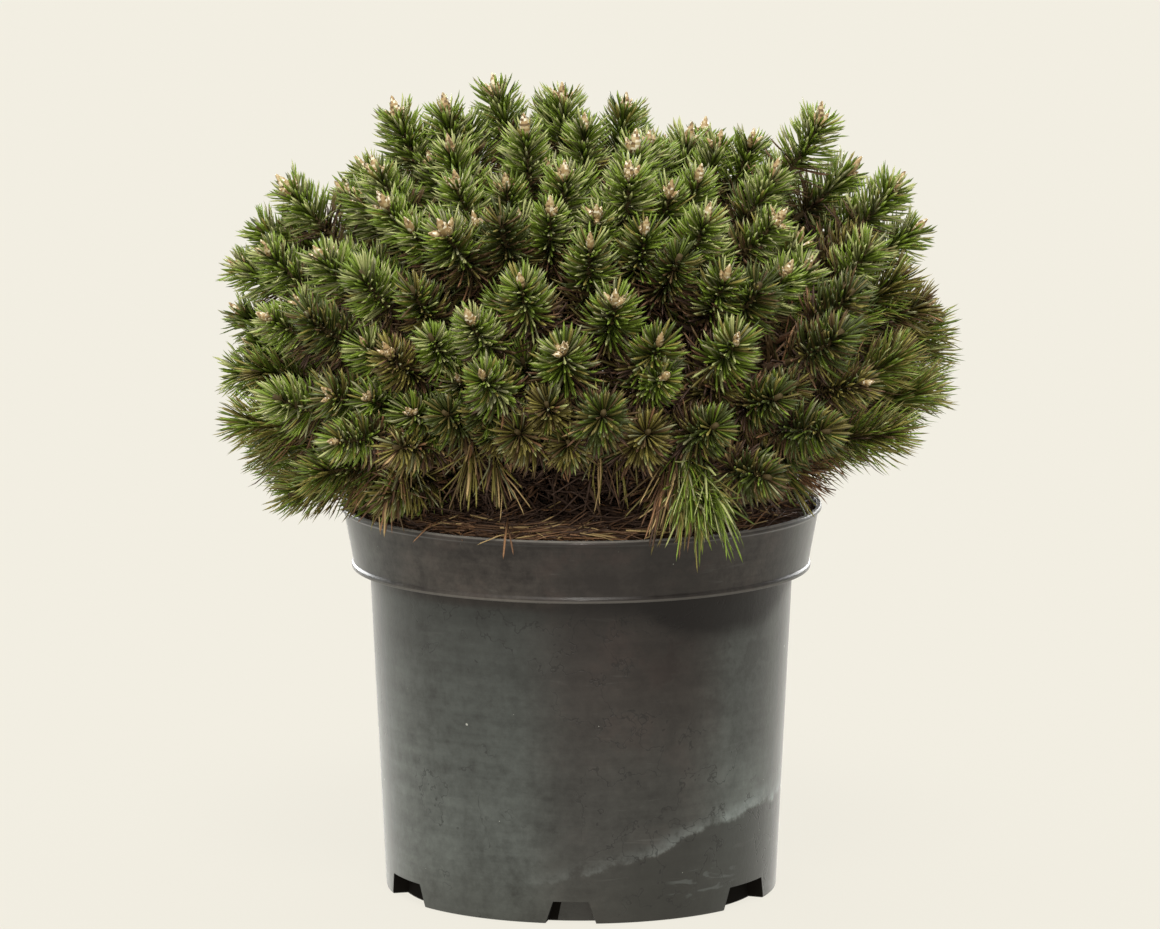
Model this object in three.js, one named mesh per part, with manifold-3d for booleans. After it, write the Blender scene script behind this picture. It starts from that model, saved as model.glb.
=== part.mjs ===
// A mugo pine, a low dense mountain pine, in a round black nursery pot.
// Millimetres, +Z up, origin at the centre of the pot's underside, -Y towards the front.
//
// A short stem stands on the potting mix and forks into boughs. Each bough carries one mass of foliage.
// The masses share out the crown by direction from its heart, a point in the stem's fork: a mass keeps
// every point that lies nearer to its own axis than to any other, so no two masses meet.
import * as THREE from "three";
import { mergeVertices } from "three/addons/utils/BufferGeometryUtils.js";
import Module from "manifold-3d";

const wasm = await Module();
wasm.setup();

const GAP = 0.3; // between pieces that rest on or grow from each other
const SLIVER = 0.05; // edges and steps smaller than this are closed up
const V = (x, y, z) => new THREE.Vector3(x, y, z);
const radians = THREE.MathUtils.degToRad;
const smooth = (t) => THREE.MathUtils.smoothstep(t, 0, 1);

// ---------------------------------------------------------------- pot
const POT = {
  height: 226,
  rim: 140, // outer radius at the top of the band
  bandFoot: 133.5, // outer radius at the band's lower edge
  band: 37, // height of the band
  neck: 123, // outer radius of the body under the band
  foot: 114, // outer radius at the ground
  wall: 2,
  floor: 4, // top of the floor above the ground
  recess: 2, // how far the underside is hollowed between its foot ring and its middle pad
  footRing: 20, // width of the foot ring
  pad: 30, // radius of the middle pad
  lip: 1, // how far the beads along the band's two edges stand out
  bead: 2.6, // their height
  sides: 40,
};
const DRAIN = {
  count: 6,
  turn: -3, // degrees that the first drain stands past the front
  widths: [
    [29, 20],
    [43, 34],
  ], // below and above, of every other drain in turn
  height: 13,
  depth: 9,
  wall: 2,
};
const bodyRadius = (z) => THREE.MathUtils.lerp(POT.foot, POT.neck, z / (POT.height - POT.band));

// ---------------------------------------------------------------- potting mix
const SOIL = {
  edge: POT.height - 3, // level at the pot's wall
  middle: 231, // level round the stem
  flat: 42, // radius of the level part round the stem
  sides: 24,
};

// ---------------------------------------------------------------- stem and crown
const HEART = V(0, 0, 262);
const STEM = {
  foot: SOIL.middle + GAP,
  top: 277,
  radius: 12,
  flare: 7, // how much wider the root flare is
  flareHeight: 8,
  lobes: 5,
  lean: 4, // how far the top stands to the right of the foot
  sides: 12,
};
const CROWN = {
  halfWidth: 206, // of the bud tips, from the heart
  oval: 8, // how much wider it is to the sides than to front and back
  rise: 200, // of the bud tips above the heart
  tilt: 14, // how much lower the rise is towards the right
  squareness: 2.5, // exponent of the superellipse that a section follows
  tuck: 0.8, // how fast the underside draws in
  skirt: 11, // degrees below the heart where the lowest shoots grow
  scatter: 0.09, // share by which the reach of a shoot varies
  even: 0.75, // share of the shoots that stay inside the crown's even outline
  stray: 5, // degrees that a shoot strays from its lattice place
  shoots: 147, // lattice places, some of which stay empty
  seed: 55,
};
// Where the skirt stands higher: azimuth, half width and lift, all in degrees.
const OPENINGS = [
  [259, 27, 23],
  [348, 30, 15],
];
// Rings of masses, from the top down: how many places, their elevation from the heart and their first
// azimuth. The lowest ring fills all places but its last, over the hollow at the front.
const RINGS = [
  { name: "top", count: 1, elevation: 90, azimuth: 0, root: 5, tip: 3.6 },
  { name: "upper", count: 5, elevation: 57, azimuth: 306, root: 5, tip: 3.6 },
  { name: "middle", count: 8, elevation: 27, azimuth: 270, root: 5.6, tip: 4 },
  { name: "lower", count: 8, filled: 7, elevation: 0, azimuth: 292.5, root: 4.4, tip: 3.2 },
];
const MASS = {
  entry: 0.4, // share of the reach where the bough ends and the mass's own stem goes on
  inner: 0.46, // shares of the reach that the dense inside fills
  waist: 0.57,
  outer: 0.67,
  pole: 0.71,
  sides: 8,
  widest: 25, // degrees
  fill: 0.9, // share of the way to the next mass
};
const SHOOT = {
  sides: 4,
  whorls: 3,
  length: 52, // that carries needles
  bud: 11, // bud length at the tip
  budRadius: 3.4,
  twig: 2.3,
  needle: 29,
  spreadTip: 38, // degrees that needles stand off the shoot near its tip
  spreadRoot: 66,
  apart: 13, // least distance of a needle from the twig of another shoot
  lift: 36, // degrees that shoots turn up
  droop: 12, // degrees that the lowest turn down
};
// Leading shoots that stand out of the crown or hang over the rim: tip x, y, z, how steeply each one
// rises, in degrees, and how many times longer its needles are.
const LEADERS = [
  [138, -20, 457, 80],
  [161, 10, 425, 68],
  [184, -15, 418, 60],
  [198, 0, 389, 38],
  [189, -20, 365, 48],
  [206, -15, 346, 20, 1.5],
  [209, 10, 316, 8, 1.6],
  [208, -10, 287, -2, 1.6],
  [100, 0, 444, 82],
  [26, 15, 461, 84],
  [-11, -10, 471, 86],
  [-58, 20, 472, 84],
  [-79, -10, 462, 84],
  [-108, -10, 460, 78],
  [-131, 15, 425, 52],
  [-173, -10, 415, 50],
  [-192, 5, 391, 46],
  [-205, 5, 367, 28],
  [-209, -5, 304, 8],
  [-190, -20, 258, -18, 1.4],
  [70, -160, 242, -48, 1.6],
  [-116, -112, 240, -36],
  [140, -56, 250, -12],
];

// Park and Miller's small generator: the same numbers from the same seed in any language.
function seeded(seed) {
  let state = seed * 7919 + 1;
  return () => {
    state = (state * 48271) % 2147483647;
    return state / 2147483647;
  };
}

const direction = (azimuth, elevation) =>
  V(
    Math.cos(radians(elevation)) * Math.cos(radians(azimuth)),
    Math.cos(radians(elevation)) * Math.sin(radians(azimuth)),
    Math.sin(radians(elevation)),
  );
const azimuthOf = (d) => THREE.MathUtils.radToDeg(Math.atan2(d.y, d.x));
const elevationOf = (d) => THREE.MathUtils.radToDeg(Math.asin(d.z / d.length()));

// How far the bud tips reach from the heart in a direction: a superellipse above, drawn in below.
function reachOf(d) {
  const azimuth = radians(azimuthOf(d));
  const half = CROWN.halfWidth + CROWN.oval * Math.cos(2 * azimuth);
  if (d.z < 0) return half * (1 + CROWN.tuck * d.z);
  const p = CROWN.squareness;
  const level = Math.hypot(d.x, d.y) / half;
  return (level ** p + (d.z / (CROWN.rise - CROWN.tilt * d.x)) ** p) ** (-1 / p);
}

// The lowest elevation at which shoots grow, lifted over the openings.
function skirtOf(azimuth) {
  const lifts = OPENINGS.map(([middle, half, lift]) => {
    const off = Math.abs(((azimuth - middle + 900) % 360) - 180);
    return lift * smooth(1.6 - off / half);
  });
  return -CROWN.skirt + Math.max(...lifts);
}

// ---------------------------------------------------------------- the masses' own spaces
const masses = RINGS.flatMap((ring) =>
  Array.from({ length: ring.filled ?? ring.count }, (_, k) => {
    const azimuth = ring.azimuth + (k * 360) / ring.count;
    const axis = direction(azimuth, ring.elevation);
    const name = ring.count > 1 ? `${ring.name}_${k + 1}` : ring.name;
    return { ring, k, name, axis, reach: reachOf(axis), shoots: [] };
  }),
);
const walls = new Map(
  masses.map((m) => [
    m,
    masses.filter((o) => o !== m).map((o) => m.axis.clone().sub(o.axis).normalize()),
  ]),
);

// How deep a point lies inside a mass's space, in mm: its distance to the nearest wall of that space.
const depthIn = (mass, p) => {
  const from = p.clone().sub(HEART);
  return Math.min(...walls.get(mass).map((normal) => from.dot(normal)));
};
// The pot and the mix, with a hand's breadth of air over the rim, keep needles out.
const clearOfPot = (p) => p.z > POT.height + 7 || Math.hypot(p.x, p.y) > POT.rim + 6;

// ---------------------------------------------------------------- solids
function solidOf(geometry) {
  const bare = geometry.clone();
  bare.deleteAttribute("normal");
  bare.deleteAttribute("uv");
  const merged = mergeVertices(bare, 1e-3);
  return new wasm.Manifold(
    new wasm.Mesh({
      numProp: 3,
      vertProperties: merged.attributes.position.array,
      triVerts: new Uint32Array(merged.index.array),
    }),
  );
}

function geometryOf(solid) {
  const mesh = solid.getMesh();
  const corners = new Float32Array(mesh.numVert * 3);
  for (let i = 0; i < mesh.numVert; i++) {
    corners.set(mesh.vertProperties.subarray(i * mesh.numProp, i * mesh.numProp + 3), i * 3);
  }
  const geometry = new THREE.BufferGeometry();
  geometry.setAttribute("position", new THREE.BufferAttribute(corners, 3));
  geometry.setIndex(new THREE.BufferAttribute(mesh.triVerts, 1));
  return geometry;
}

const unite = (solids) => solids.reduce((whole, next) => whole.add(next));

// The largest connected skin of a solid, without slivers: voids that crossing needles enclose are filled.
const wholeBody = (solid) =>
  solid
    .simplify(SLIVER)
    .decompose()
    .reduce((big, next) => (next.volume() > big.volume() ? next : big));

function fromFaces(points, faces) {
  const geometry = new THREE.BufferGeometry();
  geometry.setAttribute(
    "position",
    new THREE.Float32BufferAttribute(points.flatMap((p) => p.toArray()), 3),
  );
  geometry.setIndex(faces.flat());
  return geometry;
}

// Closes rings of points into a skin. Each ring runs anticlockwise as seen from the last ring.
function skin(rings) {
  const n = rings[0].length;
  const points = rings.flat();
  const faces = [];
  for (let j = 0; j + 1 < rings.length; j++) {
    for (let i = 0; i < n; i++) {
      const a = j * n + i;
      const b = j * n + ((i + 1) % n);
      faces.push([a, b, b + n], [a, b + n, a + n]);
    }
  }
  const last = (rings.length - 1) * n;
  for (let i = 1; i + 1 < n; i++) {
    faces.push([0, i + 1, i], [last, last + i, last + i + 1]);
  }
  return fromFaces(points, faces);
}

// Two unit vectors square to a direction, right-handed with it.
function squareTo(d) {
  const side = Math.abs(d.z) < 0.9 ? V(0, 0, 1) : V(1, 0, 0);
  const u = side.cross(d).normalize();
  return [u, d.clone().cross(u)];
}

function ringOf(centre, along, radius, sides, phase) {
  const [u, v] = squareTo(along);
  return Array.from({ length: sides }, (_, i) => {
    const a = phase + (i * 2 * Math.PI) / sides;
    return centre.clone().addScaledVector(u, radius * Math.cos(a)).addScaledVector(v, radius * Math.sin(a));
  });
}

// A limb: one tapering tube along a curve, with as many sides and steps as it needs.
function limb(curve, rootRadius, tipRadius, grow = 0, sides = 5, steps = 3) {
  const rings = [];
  for (let j = 0; j <= steps; j++) {
    const t = j / steps;
    const radius = THREE.MathUtils.lerp(rootRadius, tipRadius, t) + grow;
    rings.push(ringOf(curve.getPoint(t), curve.getTangent(t), radius, sides, 0));
  }
  return solidOf(skin(rings));
}

// ---------------------------------------------------------------- pot
function makePot() {
  const { height, rim, bandFoot, band, foot, wall, floor, recess, footRing, pad, lip, bead, sides } = POT;
  const ledge = height - band;
  const outline = [
    [0, 0],
    [pad, 0],
    [pad + recess, recess],
    [foot - footRing - recess, recess],
    [foot - footRing, 0],
    [foot, 0],
    [bodyRadius(ledge), ledge],
    [bandFoot, ledge],
    [bandFoot, ledge + bead],
    [bandFoot - lip, ledge + bead + lip],
    [rim - 2 * lip, height - bead - lip],
    [rim, height - bead],
    [rim - lip / 2, height],
    [rim - wall * 1.5, height],
    [bandFoot - wall * 1.2, ledge + wall],
    [bodyRadius(ledge) - wall, ledge + wall],
    [foot - wall, floor],
    [0, floor],
  ].map(([r, z]) => new THREE.Vector2(r, z));
  const shell = solidOf(new THREE.LatheGeometry(outline, sides).rotateX(Math.PI / 2));

  // A drain is a pocket in the foot: the wall steps in round it, and a slot in its roof leads into the pot.
  const wedge = (below, above, top, from, to) => {
    const shape = new THREE.Shape([
      new THREE.Vector2(-below / 2, -1),
      new THREE.Vector2(below / 2, -1),
      new THREE.Vector2(above / 2, top),
      new THREE.Vector2(-above / 2, top),
    ]);
    return new THREE.ExtrudeGeometry(shape, { depth: to - from, bevelEnabled: false })
      .rotateX(Math.PI / 2)
      .translate(0, -from, 0);
  };
  const inner = foot - DRAIN.depth;
  const halfway = foot - wall / 2; // in the middle of the wall, where a lining ends
  const round = solidOf(
    new THREE.CylinderGeometry(halfway, halfway, 3 * DRAIN.height, sides).rotateX(Math.PI / 2),
  );
  const drains = Array.from({ length: DRAIN.count }, (_, k) => {
    const [below, above] = DRAIN.widths[k % DRAIN.widths.length];
    const wider = 2 * DRAIN.wall;
    const place = (geometry) => solidOf(geometry.rotateZ(radians(DRAIN.turn + (k * 360) / DRAIN.count)));
    return {
      lining: place(
        wedge(below + wider, above + wider, DRAIN.height + DRAIN.wall, inner - DRAIN.wall, foot + wall),
      ).intersect(round),
      pocket: place(wedge(below, above, DRAIN.height, inner, foot + 10)),
      slot: place(
        new THREE.BoxGeometry(above - 6, DRAIN.depth / 2, 3 * DRAIN.wall).translate(
          0,
          -(inner + foot - wall) / 2,
          DRAIN.height + DRAIN.wall / 2,
        ),
      ),
    };
  });
  const ground = solidOf(new THREE.BoxGeometry(400, 400, 10).translate(0, 0, -5));
  return unite([shell, ...drains.map((drain) => drain.lining)])
    .subtract(unite(drains.flatMap((drain) => [drain.pocket, drain.slot])))
    .subtract(ground);
}

// The mix fills the pot up to its mounded top, and stands clear of the drains' linings.
function makeSoil() {
  const { wall, floor, height, band, bandFoot } = POT;
  const ledge = height - band;
  const clear = wall + GAP;
  const above = floor + DRAIN.height + 3;
  const rimInside = THREE.MathUtils.lerp(bandFoot, POT.rim, (SOIL.edge - ledge) / band) - 2 * wall;
  const outline = [
    [0, floor + GAP],
    [POT.foot - DRAIN.depth - 2 * clear - 2, floor + GAP],
    [POT.foot - DRAIN.depth - 2 * clear - 2, above],
    [bodyRadius(above) - clear - 1, above],
    [bodyRadius(ledge) - clear - 0.5, ledge + wall + GAP],
    [bandFoot - 2 * wall, ledge + wall + GAP],
    [rimInside, SOIL.edge],
    [(rimInside + SOIL.flat) / 2, (SOIL.edge + SOIL.middle) / 2 + 1.5],
    [SOIL.flat, SOIL.middle],
    [0, SOIL.middle],
  ].map(([r, z]) => new THREE.Vector2(r, z));
  return solidOf(new THREE.LatheGeometry(outline, SOIL.sides).rotateX(Math.PI / 2));
}

// ---------------------------------------------------------------- stem
function makeStem(grow = 0) {
  const { foot, top, radius, flare, flareHeight, lobes, lean, sides } = STEM;
  const levels = [0, 0.08, 0.2, 0.45, 0.75, 1];
  const rings = levels.map((share) => {
    const z = THREE.MathUtils.lerp(foot, top, share);
    const splay = flare * Math.exp(-(z - foot) / flareHeight);
    return Array.from({ length: sides }, (_, i) => {
      const a = (i * 2 * Math.PI) / sides;
      const r = radius - 3 * share + splay * (1 + 0.35 * Math.cos(lobes * a)) + grow;
      const up = share === 1 ? grow : share === 0 ? -grow : 0;
      return V(lean * share + r * Math.cos(a), r * Math.sin(a), z + up);
    });
  });
  return solidOf(skin(rings));
}

// ---------------------------------------------------------------- boughs
// Upper boughs leave the stem near its top and middle boughs below them, at two heights in turn.
// Lower boughs leave the middle ones.
function boughCurve(mass, byName) {
  const end = HEART.clone().addScaledVector(mass.axis, MASS.entry * mass.reach);
  const leanAt = (z) => (STEM.lean * (z - STEM.foot)) / (STEM.top - STEM.foot);
  let root;
  if (mass.ring.name === "lower") {
    root = byName.get(`middle_${mass.k + 1}`).curve.getPoint(0.4);
  } else {
    const low = mass.ring.name === "middle" ? (mass.k % 2 ? 255 : 245) : 266;
    root = V(leanAt(low), 0, low);
  }
  const span = end.distanceTo(root);
  const bend = end.clone().addScaledVector(mass.axis, -span * 0.5);
  return new THREE.QuadraticBezierCurve3(root, bend, end);
}

// ---------------------------------------------------------------- shoots
function axisOf(d) {
  const elevation = elevationOf(d);
  const rise =
    elevation +
    SHOOT.lift * smooth((elevation + 2) / 27) * Math.cos(radians(elevation)) -
    SHOOT.droop * smooth((4 - elevation) / 14);
  return direction(azimuthOf(d), Math.min(rise, 90));
}

function massOf(d) {
  return masses.reduce((best, m) => (m.axis.dot(d) > best.axis.dot(d) ? m : best));
}

// Shoots stand on a sunflower lattice of directions from the heart, each moved a little at random.
function growShoots() {
  const random = seeded(CROWN.seed);
  const golden = 180 * (3 - Math.sqrt(5));
  const found = [];
  for (const [x, y, z, rise, longer = 1] of LEADERS) {
    const tip = V(x, y, z);
    const d = tip.clone().sub(HEART).normalize();
    found.push({ tip, d, longer, axis: direction(azimuthOf(d), rise), roll: random() * Math.PI });
  }
  const lowest = Math.sin(radians(CROWN.skirt));
  for (let i = 0; i < CROWN.shoots; i++) {
    const draws = Array.from({ length: 4 }, random);
    const sine = 1 - ((i + 0.5) / CROWN.shoots) * (1 + lowest);
    const elevation = THREE.MathUtils.radToDeg(Math.asin(sine)) + (draws[0] - 0.5) * CROWN.stray;
    const azimuth = ((i * golden) % 360) + (draws[1] - 0.5) * CROWN.stray;
    if (elevation < skirtOf(azimuth)) continue;
    const d = direction(azimuth, elevation);
    if (found.slice(0, LEADERS.length).some((s) => s.d.angleTo(d) < radians(7))) continue;
    const tip = HEART.clone().addScaledVector(d, reachOf(d) * (1 + (draws[2] - CROWN.even) * CROWN.scatter));
    found.push({ tip, d, longer: 1, axis: axisOf(d), roll: draws[3] * Math.PI });
  }
  for (const shoot of found) massOf(shoot.d).shoots.push(shoot);
}

// The curve of a shoot: out of the mass's dense inside, bending until it points along its own axis.
function shootCurve(mass, shoot) {
  const tip = shoot.tip.clone();
  const inward = mass.axis.clone().multiplyScalar(tip.distanceTo(HEART)).add(HEART);
  for (let i = 0; i < 12 && depthIn(mass, tip) < 7; i++) tip.lerp(inward, 0.04);
  const reach = tip.distanceTo(HEART);
  const root = HEART.clone()
    .addScaledVector(tip.clone().sub(HEART).normalize().lerp(mass.axis, 0.3).normalize(), reach * 0.57);
  const chord = tip.clone().lerp(root, 0.5);
  const bend = tip.clone().addScaledVector(shoot.axis, -SHOOT.length * 0.6);
  for (let i = 0; i < 12 && (depthIn(mass, bend) < 4 || bend.z < POT.height + 12); i++) {
    bend.lerp(chord, 0.2);
  }
  return new THREE.QuadraticBezierCurve3(root, bend, tip);
}

// Whether a needle from one shoot would stand in the needles of another.
function meets(other, apex, middle) {
  other.samples ??= [0.25, 0.5, 0.75, 1].map((u) => other.curve.getPointAt(u));
  return other.samples.some(
    (p) => p.distanceTo(apex) < SHOOT.apart || p.distanceTo(middle) < SHOOT.apart * 0.8,
  );
}

// One shoot: a slim three-whorl core, with a blade of needles on each of its faces and a bud at its tip.
function makeShoot(mass, shoot) {
  const curve = shoot.curve;
  const whole = curve.getLength();
  const { sides, whorls, length, bud, budRadius, twig, needle, spreadTip, spreadRoot } = SHOOT;
  const needled = Math.min(length, whole - bud - 6);
  const stops = [];
  for (let k = 0; k <= whorls; k++) stops.push(1 - (bud + needled * (1 - k / whorls)) / whole);
  stops.push(1 - (bud * 0.5) / whole);
  const rings = stops.map((u, k) => {
    const radius = k <= whorls ? twig : budRadius;
    const phase = shoot.roll + (k * Math.PI) / sides;
    return ringOf(curve.getPointAt(u), curve.getTangentAt(u), radius, sides, phase);
  });
  const points = rings.flat();
  const faces = [];
  const root = points.push(curve.getPoint(0)) - 1;
  const tip = points.push(curve.getPoint(1)) - 1;
  for (let k = 0; k + 1 < rings.length; k++) {
    for (let i = 0; i < sides; i++) {
      const a = k * sides + i;
      const b = k * sides + ((i + 1) % sides);
      const quad = [a, b, b + sides, a + sides];
      const apex = k < whorls ? needleTip(mass, curve, points, quad, k) : null;
      if (apex) {
        const at = points.push(apex) - 1;
        quad.forEach((corner, j) => faces.push([corner, quad[(j + 1) % 4], at]));
      } else {
        faces.push([quad[0], quad[1], quad[2]], [quad[0], quad[2], quad[3]]);
      }
    }
  }
  const last = (rings.length - 1) * sides;
  for (let i = 0; i < sides; i++) {
    const next = (i + 1) % sides;
    faces.push([root, next, i], [last + i, last + next, tip]);
  }
  return solidOf(fromFaces(points, faces));

  function needleTip(space, path, at, quad, whorl) {
    const foot = quad.reduce((sum, c) => sum.add(at[c]), V(0, 0, 0)).multiplyScalar(0.25);
    const u = (stops[whorl] + stops[whorl + 1]) / 2;
    const share = whorl / (whorls - 1);
    const along = path.getTangentAt(u);
    const out = foot.clone().sub(path.getPointAt(u));
    out.addScaledVector(along, -out.dot(along)).normalize();
    const spread = radians(THREE.MathUtils.lerp(spreadRoot, spreadTip, share));
    const way = along.clone().multiplyScalar(Math.cos(spread)).addScaledVector(out, Math.sin(spread));
    for (let size = needle * shoot.longer; size > needle * 0.5; size *= 0.85) {
      const apex = foot.clone().addScaledVector(way, size);
      const middle = foot.clone().addScaledVector(way, size * 0.6);
      const own = depthIn(space, apex) > 0.5 && clearOfPot(apex) && clearOfPot(middle);
      const free = space.shoots.every((other) => other === shoot || !meets(other, apex, middle));
      if (own && free) return apex;
    }
    return null;
  }
}

// ---------------------------------------------------------------- masses
// The dense inside of a mass: a bun between four shares of the reach, drawn in from its space's walls.
function makeCore(mass) {
  const [u, v] = squareTo(mass.axis);
  const at = (share, d) => HEART.clone().addScaledVector(d, reachOf(d) * share);
  const ringAt = (share, part) =>
    Array.from({ length: MASS.sides }, (_, i) => {
      const a = (i * 2 * Math.PI) / MASS.sides;
      const side = u.clone().multiplyScalar(Math.cos(a)).addScaledVector(v, Math.sin(a));
      let angle = radians(MASS.widest);
      for (const other of masses) {
        const towards = side.dot(other.axis);
        if (other !== mass && towards > 0) {
          angle = Math.min(angle, Math.atan2(1 - mass.axis.dot(other.axis), towards));
        }
      }
      angle *= MASS.fill * part;
      const d = mass.axis.clone().multiplyScalar(Math.cos(angle)).addScaledVector(side, Math.sin(angle));
      const p = at(share, d);
      p.z = Math.max(p.z, POT.height + 22);
      return p;
    });
  const rings = [
    ringAt(MASS.inner, 0.55),
    ringAt(MASS.waist, 0.95),
    ringAt(MASS.outer, 0.75),
    ringAt(MASS.pole, 0.25),
  ];
  return solidOf(skin(rings));
}

function makeMass(mass) {
  const start = HEART.clone().addScaledVector(mass.axis, MASS.entry * mass.reach + GAP);
  const end = HEART.clone().addScaledVector(mass.axis, 0.55 * mass.reach);
  const stem = limb(new THREE.LineCurve3(start, end), mass.ring.tip, mass.ring.tip * 0.8, 0, 5, 1);
  for (const shoot of mass.shoots) shoot.curve = shootCurve(mass, shoot);
  return wholeBody(unite([makeCore(mass), stem, ...mass.shoots.map((s) => makeShoot(mass, s))]));
}

// ---------------------------------------------------------------- finishes
const finish = (color, roughness) => new THREE.MeshStandardMaterial({ color, roughness, metalness: 0 });
const FINISHES = {
  pot: finish(0x2f3231, 0.5),
  soil: finish(0x3a271b, 0.95),
  bark: finish(0x4d3a2c, 0.9),
  needles: finish(0x3d5a22, 0.55),
};

// ---------------------------------------------------------------- the whole plant in its pot
const plant = new THREE.Group();
function place(name, solid, material) {
  const mesh = new THREE.Mesh(geometryOf(solid), material);
  mesh.name = name;
  plant.add(mesh);
}

place("pot", makePot(), FINISHES.pot);
place("potting_mix", makeSoil(), FINISHES.soil);
place("stem", makeStem(), FINISHES.bark);

growShoots();
const byName = new Map(masses.map((m) => [m.name, m]));
const grownStem = makeStem(GAP);
const grownBoughs = [];
for (const mass of masses) {
  mass.curve = boughCurve(mass, byName);
  const { root, tip } = mass.ring;
  const rough = limb(mass.curve, root, tip).subtract(grownStem);
  const bough = grownBoughs.reduce((left, other) => left.subtract(other), rough);
  grownBoughs.push(limb(mass.curve, root, tip, GAP));
  place(`bough_${mass.name}`, bough, FINISHES.bark);
}
for (const mass of masses) place(`foliage_${mass.name}`, makeMass(mass), FINISHES.needles);

export default plant;
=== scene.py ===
"""A mugo pine in a black nursery pot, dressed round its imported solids.

The sections follow the plant as it is put together: pot, potting mix, litter, stem and boughs, then the
shoots of the crown with their twigs, needles and buds. Shapes are worked out in millimetres, with +Z up and
-Y to the front, and go into the meshes in metres.
"""
import math

import bpy
import numpy as np
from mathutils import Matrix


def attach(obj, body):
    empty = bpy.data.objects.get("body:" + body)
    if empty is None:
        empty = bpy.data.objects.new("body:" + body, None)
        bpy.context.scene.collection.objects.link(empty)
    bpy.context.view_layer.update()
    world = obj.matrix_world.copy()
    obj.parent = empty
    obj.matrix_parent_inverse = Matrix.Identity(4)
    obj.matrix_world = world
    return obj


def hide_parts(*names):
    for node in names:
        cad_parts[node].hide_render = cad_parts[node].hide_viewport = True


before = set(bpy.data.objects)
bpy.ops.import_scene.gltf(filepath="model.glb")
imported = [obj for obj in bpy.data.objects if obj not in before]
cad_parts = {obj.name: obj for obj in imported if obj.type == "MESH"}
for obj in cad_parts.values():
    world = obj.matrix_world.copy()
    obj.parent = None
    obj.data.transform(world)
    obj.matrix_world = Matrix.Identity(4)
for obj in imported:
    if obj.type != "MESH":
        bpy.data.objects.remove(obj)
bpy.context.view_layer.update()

# -------------------- camera
# A long lens a few paces off, a little above the rim, aimed at the pot's axis just over the rim.
EYE_DISTANCE = 4.301
EYE_ABOVE = math.radians(9.04)
AIM = (-0.0007, 0.0, 0.2477)

camera = bpy.data.objects.new("camera", bpy.data.cameras.new("camera"))
camera.data.sensor_width = 36.0
camera.data.lens = 229.7
camera.data.clip_end = 60.0
camera.location = (
    AIM[0],
    AIM[1] - EYE_DISTANCE * math.cos(EYE_ABOVE),
    AIM[2] + EYE_DISTANCE * math.sin(EYE_ABOVE),
)
camera.rotation_euler = (math.pi / 2 - EYE_ABOVE, 0.0, 0.0)
bpy.context.scene.collection.objects.link(camera)
bpy.context.scene.camera = camera
bpy.context.scene.view_settings.view_transform = "Standard"

# -------------------- floor and light
# A wide matt floor that glows a faint ivory, an even pale sky, and five soft lamps: the key high in front, a
# weak one low on the left, a fill along the lens that lifts the crown's darks, and two low ones behind that
# draw the pale edges down both sides of the pot.


class Shade:
    """A value in a material's node tree. Sums written on it add Math nodes."""

    def __init__(self, tree, socket=None):
        self.tree = tree
        self.socket = socket

    def node(self, kind, settings=None, output=0, **inputs):
        """Adds a node. Its settings come first, then its sockets' values or links. A socket is named in
        words with _ for a space, or by its number as _0."""
        made = self.tree.nodes.new("ShaderNode" + kind)
        for key, value in (settings or {}).items():
            setattr(made, key, value)
        for key, value in inputs.items():
            name = key.replace("_", " ").strip()
            socket = made.inputs[int(name)] if name.isdigit() else made.inputs[name]
            if isinstance(value, Shade):
                self.tree.links.new(value.socket, socket)
            elif isinstance(value, tuple) and socket.type == "RGBA":
                socket.default_value = (*value, 1.0)
            else:
                socket.default_value = value
        return Shade(self.tree, made.outputs[output])

    def sum(self, operation, *values):
        named = {f"_{i}": value for i, value in enumerate(values)}
        return self.node("Math", {"operation": operation}, **named)

    def __add__(self, other):
        return self.sum("ADD", self, other)

    def __sub__(self, other):
        return self.sum("SUBTRACT", self, other)

    def __rsub__(self, other):
        return self.sum("SUBTRACT", other, self)

    def __mul__(self, other):
        return self.sum("MULTIPLY", self, other)

    __radd__ = __add__
    __rmul__ = __mul__

    def between(self, low, high):
        """0 below low, 1 above high and a smooth rise from one to the other. high may be the lower one."""
        settings = {"interpolation_type": "SMOOTHSTEP"}
        return self.node("MapRange", settings, Value=self, From_Min=low, From_Max=high)

    def band(self, start, full, fade, end):
        """A smooth rise from 0 at start to 1 at full and a fall from 1 at fade to 0 at end."""
        return self.between(start, full) * self.between(end, fade)

    def mix(self, first, second):
        """The colour first where this value is 0 and second where it is 1."""
        return self.node("Mix", {"data_type": "RGBA"}, output=2, Factor=self, _6=first, _7=second)

    def moved(self, **how):
        """This place turned, shifted or scaled, so that a pattern on it is."""
        return self.node("Mapping", Vector=self, **how)

    def clouds(self, scale, detail, rough=0.5, swirl=0.0):
        """A cloudy pattern over this place, of values about 0.5."""
        noise = dict(Scale=scale, Detail=detail, Roughness=rough, Distortion=swirl)
        return self.node("TexNoise", Vector=self, **noise)

    def cells(self, scale, feature="F1", output=0):
        """A pattern of cells over this place: how far off a cell's middle or edge is, or its own colour."""
        return self.node("TexVoronoi", {"feature": feature}, output, Vector=self, Scale=scale)

    def bump(self, strength, distance):
        """The normal of a skin that this value lifts, by distance in metres where it is 1."""
        return self.node("Bump", Strength=strength, Distance=distance, Height=self)


def srgb(*parts):
    """A colour of 0 to 255 steps as linear light: each part over 255 to the power 2.2."""
    return tuple((part / 255) ** 2.2 for part in parts)


def shader_socket(material, key):
    """A socket of the material's shader, named in words with _ for a space."""
    return material.node_tree.nodes["Principled BSDF"].inputs[key.replace("_", " ")]


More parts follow.
